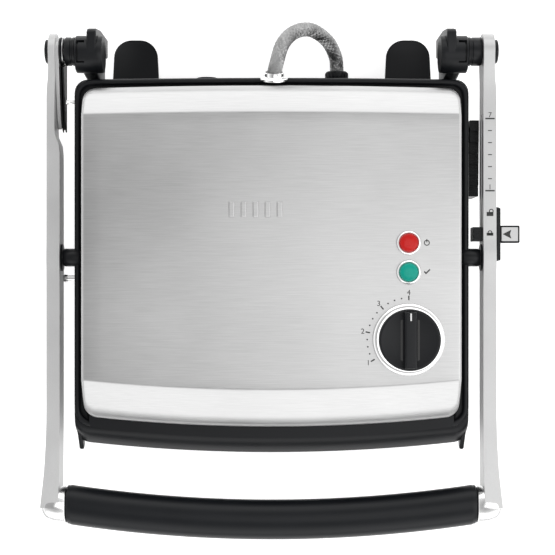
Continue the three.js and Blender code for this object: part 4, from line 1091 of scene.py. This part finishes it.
def lead_route():
    """Centre of the lead: out of the base's gland, back and up in a loop, into the lid's flange."""
    start = Vector((53.0, REAR_WALL + 18.6, 38.0))
    end = GROMMET_SPOT + Vector((0, 3 * math.cos(GROMMET_TILT), 3 * math.sin(GROMMET_TILT)))
    span = Vector((end.x - start.x, 27.1, end.z - start.z))
    shares = [
        (0, -0.1, 0), (0, 0.15, 0.01), (0.03, 0.45, 0.08), (0.16, 0.8, 0.27), (0.42, 1, 0.55), (0.68, 0.83, 0.8),
        (0.87, 0.4, 0.99),
    ]
    points = [start + Vector((u * span.x, v * span.y, w * span.z)) for u, v, w in shares]
    points += [Vector((end.x - 0.03 * span.x, end.y + 7.0, end.z + 2.4)), end]
    route = []
    for i in range(len(points) - 1):
        before, after = points[max(i - 1, 0)], points[min(i + 2, len(points) - 1)]
        a, b = points[i], points[i + 1]
        for k in range(24):
            t = k / 24
            route.append(
                0.5 * ((2 * a) + (b - before) * t + (2 * before - 5 * a + 4 * b - after) * t**2
                       + (3 * a - before - 3 * b + after) * t**3)
            )
    return route + [points[-1]]


def even_route(route, step):
    """The same route in equal steps."""
    out, carried = [route[0]], 0.0
    for a, b in zip(route, route[1:]):
        length = (b - a).length
        while carried + length >= step:
            share = (step - carried) / length
            a = a.lerp(b, share)
            length = (b - a).length
            out.append(a.copy())
            carried = 0.0
        carried += length
    return out


def carried_frames(route):
    """A steady pair of side directions along the route."""
    side = Vector((1, 0, 0))
    frames = []
    for i, p in enumerate(route):
        ahead = (route[min(i + 1, len(route) - 1)] - route[max(i - 1, 0)]).normalized()
        side = (side - ahead * side.dot(ahead)).normalized()
        frames.append((p, side.copy(), ahead.cross(side)))
    return frames


def wires_to_mesh(paths, radius, sides=1):
    """Round wires along lists of points, as one bmesh."""
    curve = bpy.data.curves.new("wires", "CURVE")
    curve.dimensions = "3D"
    curve.bevel_depth = radius
    curve.bevel_resolution = sides
    curve.use_fill_caps = True
    for path in paths:
        spline = curve.splines.new("POLY")
        spline.points.add(len(path) - 1)
        spline.points.foreach_set("co", [c for p in path for c in (*p, 1.0)])
    return curve_to_bmesh(curve)


def make_lead():
    frames = carried_frames(even_route(lead_route(), 0.55))
    half = len(frames) // 2
    carriers, twist = 16, math.radians(5.625)
    for name, first, last, bodies in (
        ("lower", 0, half, ("base", "arms")), ("upper", half, len(frames) - 1, ("arms", "lid")),
    ):
        paths = []
        for hand in (-1, 1):
            for c in range(carriers):
                for wire in (-0.55, 0.0, 0.55):
                    path = []
                    for i in range(first, last + 1):
                        p, side, up = frames[i]
                        turn = hand * twist * i + math.tau * c / carriers
                        weave = 0.2 * hand * math.sin(carriers * twist * i + math.pi * c)
                        turn += wire * 1.15 / LEAD_RADIUS
                        reach = LEAD_RADIUS - 0.42 + weave
                        path.append(p + side * reach * math.cos(turn) + up * reach * math.sin(turn))
                    paths.append(path)
        bm = wires_to_mesh(paths, 0.27, 0)
        core = wires_to_mesh([[frames[i][0] for i in range(first, last + 1)]], LEAD_RADIUS - 0.75, 5)
        for label, part, finish_name in (("braid", bm, "braided_steel"), ("core", core, "braid_liner")):
            stands_for = ["braided_lead"] if label == "braid" else []
            piece = add_piece(f"lead_{label}_{name}", part, None, finish_name, stands_for, crease=60)
            ends = [to_row @ frames[i][0] for i in (first, last)]
            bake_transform(piece, *bodies, start=tuple(ends[0]), end=tuple(ends[1]))


# ---- Base ---------------------------------------------------------------------------------------------


def base_loop(inset, corner=None):
    return plan_loop(inset, rear_bow=0.0, corner=(corner or 10.0) + (inset if corner else 0.0))


TRAY_GAP_HALF, TRAY_GAP_TOP = 69.0, 25.4


def make_base():
    """Housing open round the tray, the black rim above it, the steel band round it and its feet."""
    shell, low_edge, floor = base_loop(3.7, 12.0), base_loop(5.2, 12.0), base_loop(7.2, 12.0)
    inner, rolled = base_loop(6.7, 12.0), base_loop(4.4, 12.0)
    inner_floor = SHELL_BOTTOM + 3.0
    loops = [
        (floor, SHELL_BOTTOM), (low_edge, SHELL_BOTTOM + 0.7), (rolled, SHELL_BOTTOM + 2.2),
        (shell, SHELL_BOTTOM + 4.5), (shell, SHELL_TOP - 0.4), (rolled, SHELL_TOP), (inner, SHELL_TOP),
        (inner, inner_floor),
    ]
    bm = loft(loops)
    slice_at(bm, 0, (-TRAY_GAP_HALF, TRAY_GAP_HALF))
    slice_at(bm, 2, (inner_floor, TRAY_GAP_TOP))

    def in_gap(c, n):
        ahead = abs(c.x) < TRAY_GAP_HALF and c.y < LID_FRONT + 12.0 and abs(n.z) < 0.5
        return ahead and inner_floor < c.z < TRAY_GAP_TOP

    bmesh.ops.bridge_loops(bm, edges=cut_away(bm, in_gap))
    add_piece("base_housing", bm, "base", "black_plastic", ["base_shell"], crease=35)

    rim = [
        (base_loop(2.6), SHELL_TOP + 0.3), (base_loop(2.2), SHELL_TOP + 0.9), (base_loop(2.2), RIM_TOP - 2.2),
        (base_loop(2.5), RIM_TOP - 1.1), (base_loop(3.2), RIM_TOP - 0.3), (base_loop(4.3), RIM_TOP),
        (base_loop(10.2), RIM_TOP), (base_loop(11.2), RIM_TOP - 0.8), (base_loop(11.2), SHELL_TOP + 0.3),
    ]
    add_piece("base_collar", loft(rim, closed=True), "base", "black_plastic", ["base_rim"], crease=40)

    outer, inside = base_loop(2.4, 12.0), base_loop(3.4, 12.0)
    middle, low, high = between(outer, inside, 0.5), 26.0, 49.0
    loops = [(outer, low + 0.6), (outer, high - 0.6), (middle, high), (inside, high), (inside, low), (middle, low)]
    bm = loft(loops, closed=True)
    bmesh.ops.holes_fill(bm, edges=cut_away(bm, lambda c, n: c.y > REAR_WALL - 9.0))
    add_piece("base_band", bm, "base", "brushed_steel", ["base_trim_band"], crease=35)

    foot = [(0, 0.0), (8.2, 0.0), (9.3, 0.6), (10.6, 5.5), (10.9, 7.7), (0, 7.7)]
    for end, y in (("front", LID_FRONT + 30.0), ("rear", LID_REAR - 30.0)):
        for side, sign in SIDES:
            spot = Matrix.Translation((sign * (HALF_LID - 34.0), y, 0))
            turned_piece(f"pad_{end}_{side}", foot, spot, "base", "rubber", [f"foot_{end}_{side}"], 40, False)


DRAIN_HALF, DRAIN_REAR = 12.0, -112.0


def make_lower_plate():
    """Flat cooking plate with a raised lip, open at the front where the fat runs off."""
    top, proud = RIM_TOP, RIM_TOP + 2.0
    loops = [
        (base_loop(11.5), top - 6.0), (base_loop(11.5), proud - 0.7), (base_loop(12.2), proud),
        (base_loop(14.6), proud), (base_loop(15.6), proud - 0.8), (base_loop(16.6), top + 0.2),
        (base_loop(17.4), top),
    ]
    bm = loft(loops)
    slice_at(bm, 0, (-DRAIN_HALF, DRAIN_HALF))
    slice_at(bm, 1, [DRAIN_REAR])
    edges = cut_away(bm, lambda c, n: abs(c.x) < DRAIN_HALF - 0.1 and c.y < DRAIN_REAR)
    bmesh.ops.holes_fill(bm, edges=edges)
    add_piece("lower_plate", bm, "base", "nonstick", ["lower_grill_plate"], crease=40)
    walls = [
        ((-14.0, -12.2), (-124.0, -110.0)), ((12.2, 14.0), (-124.0, -110.0)),
        ((-14.0, 14.0), (-124.0, -122.2)), ((-14.0, 14.0), (-111.8, -110.0)),
    ]
    duct = blocks(*[(x, y, (26.4, 53.7)) for x, y in walls])
    add_piece("drain_funnel", duct, "base", "black_plastic", ["drain_duct"], bevel=0.3, segments=2)


def make_tray():
    """Drip tray whose front closes the base's front wall, with a finger scoop."""
    front, rear, low, high = -143.3, -69.3, 11.4, 24.4
    half, wall, run = 68.0, 1.6, (front + 3.0, rear)
    bm = blocks(
        ((-half, half), run, (low, low + wall)),
        ((-half, wall - half), run, (low, high)),
        ((half - wall, half), run, (low, high)),
        ((-half, half), (rear - wall, rear), (low, high)),
    )
    add_piece("tray_pan", bm, "tray", "black_plastic", ["drip_tray"], bevel=0.6)
    bm = blocks(((-67.6, 67.6), (front, front + 3.2), (low, high - 0.2)))
    slice_at(bm, 0, steps_between(-60, 60, 24))
    for v in bm.verts:
        v.co.y += FRONT_BOW * (v.co.x / HALF_LID) ** 2
        if abs(v.co.x) < 24 and v.co.z < low + 2:
            v.co.z += 4.0 * (1 - (v.co.x / 24) ** 2)
    add_piece("tray_front", bm, "tray", "black_plastic", bevel=0.7)


make_lead()
make_base()
make_lower_plate()
make_tray()


# ---- Screws -------------------------------------------------------------------------------------------


def make_screws():
    head = [(0.9, -0.5), (0.9, 0.35), (1.1, 0.7), (2.0, 0.75), (2.7, 0.45), (3.0, 0), (3.0, -0.6), (0, -0.6)]
    head.append((0, -0.5))
    under = [
        Matrix.Translation((x, y, SHELL_BOTTOM)) @ Matrix.Rotation(math.pi, 4, "X")
        for x in (-128.0, 128.0) for y in (-124.0, 124.0)
    ]
    beside = [sideways(sign * (ARM_OUTER + 0.1), PIVOT_Y, AXIS_Z, sign) for _, sign in SIDES]
    for name, body, places in (("base_screws", "base", under), ("pivot_screws", "arms", beside)):
        bm = bmesh.new()
        for place in places:
            merge_in(bm, turned(head, place, 24))
        add_piece(name, bm, body, "bright_steel", crease=40)


make_screws()


# ---- Floor, lights and camera -------------------------------------------------------------------------


def make_stage():
    bm = bmesh.new()
    bmesh.ops.create_grid(bm, x_segments=1, y_segments=1, size=4.0)
    mesh = bpy.data.meshes.new("floor")
    bm.to_mesh(mesh)
    bm.free()
    floor = put_in_scene("floor", mesh)
    paint = bpy.data.materials.new("floor_paint")
    paint.use_nodes = True
    shader = paint.node_tree.nodes["Principled BSDF"]
    glow = {"Emission Color": (1, 1, 1, 1), "Emission Strength": 0.45}
    for key, value in {"Base Color": (*grey(0.93), 1), "Roughness": 0.9, **glow}.items():
        shader.inputs[key].default_value = value
    mesh.materials.append(paint)


def soft_box(name, place, aim, width, height, power):
    """A large lamp with soft edges, turned towards a point."""
    lamp = bpy.data.lights.new(name, "AREA")
    lamp.shape = "RECTANGLE"
    lamp.size, lamp.size_y, lamp.energy = width, height, power
    holder = put_in_scene(name, lamp)
    holder.location = place
    holder.rotation_euler = (Vector(aim) - Vector(place)).to_track_quat("-Z", "Y").to_euler()


def make_world():
    """Dimmer on the horizon, bright above it, darker overhead, a little brighter to the right."""
    world = bpy.data.worlds.new("studio")
    world.use_nodes = True
    tree = world.node_tree
    back = tree.nodes["Background"]
    place = add_node(tree, "ShaderNodeTexCoord")
    split = add_node(tree, "ShaderNodeSeparateXYZ")
    tree.links.new(place.outputs["Generated"], split.inputs[0])
    ramp = add_node(tree, "ShaderNodeValToRGB")
    horizon, overhead = ramp.color_ramp.elements
    horizon.position, horizon.color = 0.14, (*grey(0.42), 1)
    overhead.position, overhead.color = 0.97, (*grey(0.23), 1)
    for height, tone in ((0.34, 1.0), (0.6, 0.66)):
        ramp.color_ramp.elements.new(height).color = (*grey(tone), 1)
    tree.links.new(split.outputs["Z"], ramp.inputs["Fac"])
    lean = add_node(tree, "ShaderNodeMath", {1: 0.3, 2: 1.65}, operation="MULTIPLY_ADD")
    tree.links.new(split.outputs["X"], lean.inputs[0])
    tree.links.new(ramp.outputs["Color"], back.inputs["Color"])
    tree.links.new(lean.outputs[0], back.inputs["Strength"])
    bpy.context.scene.world = world


def make_camera():
    """Straight down from 1.1 m, a little off the lid's middle."""
    camera = bpy.data.cameras.new("camera")
    camera.sensor_width, camera.lens, camera.clip_end = 36.0, 84.12973, 20.0
    holder = put_in_scene("camera", camera)
    holder.location = to_row @ Vector((4.6, -9.5, 1100.0))
    bpy.context.scene.camera = holder
    bpy.context.scene.view_settings.view_transform = "Standard"


make_stage()
make_world()
make_camera()
soft_box("front_box", (0.0, -1.9, 1.15), (0, 0, 0.1), 2.6, 1.5, 9)
soft_box("rear_box", (0.0, 1.9, 1.15), (0, 0, 0.1), 2.6, 1.5, 9)
soft_box("right_box", (0.66, -0.2, 1.3), (0.3, -0.1, 0.1), 0.8, 1.8, 6)
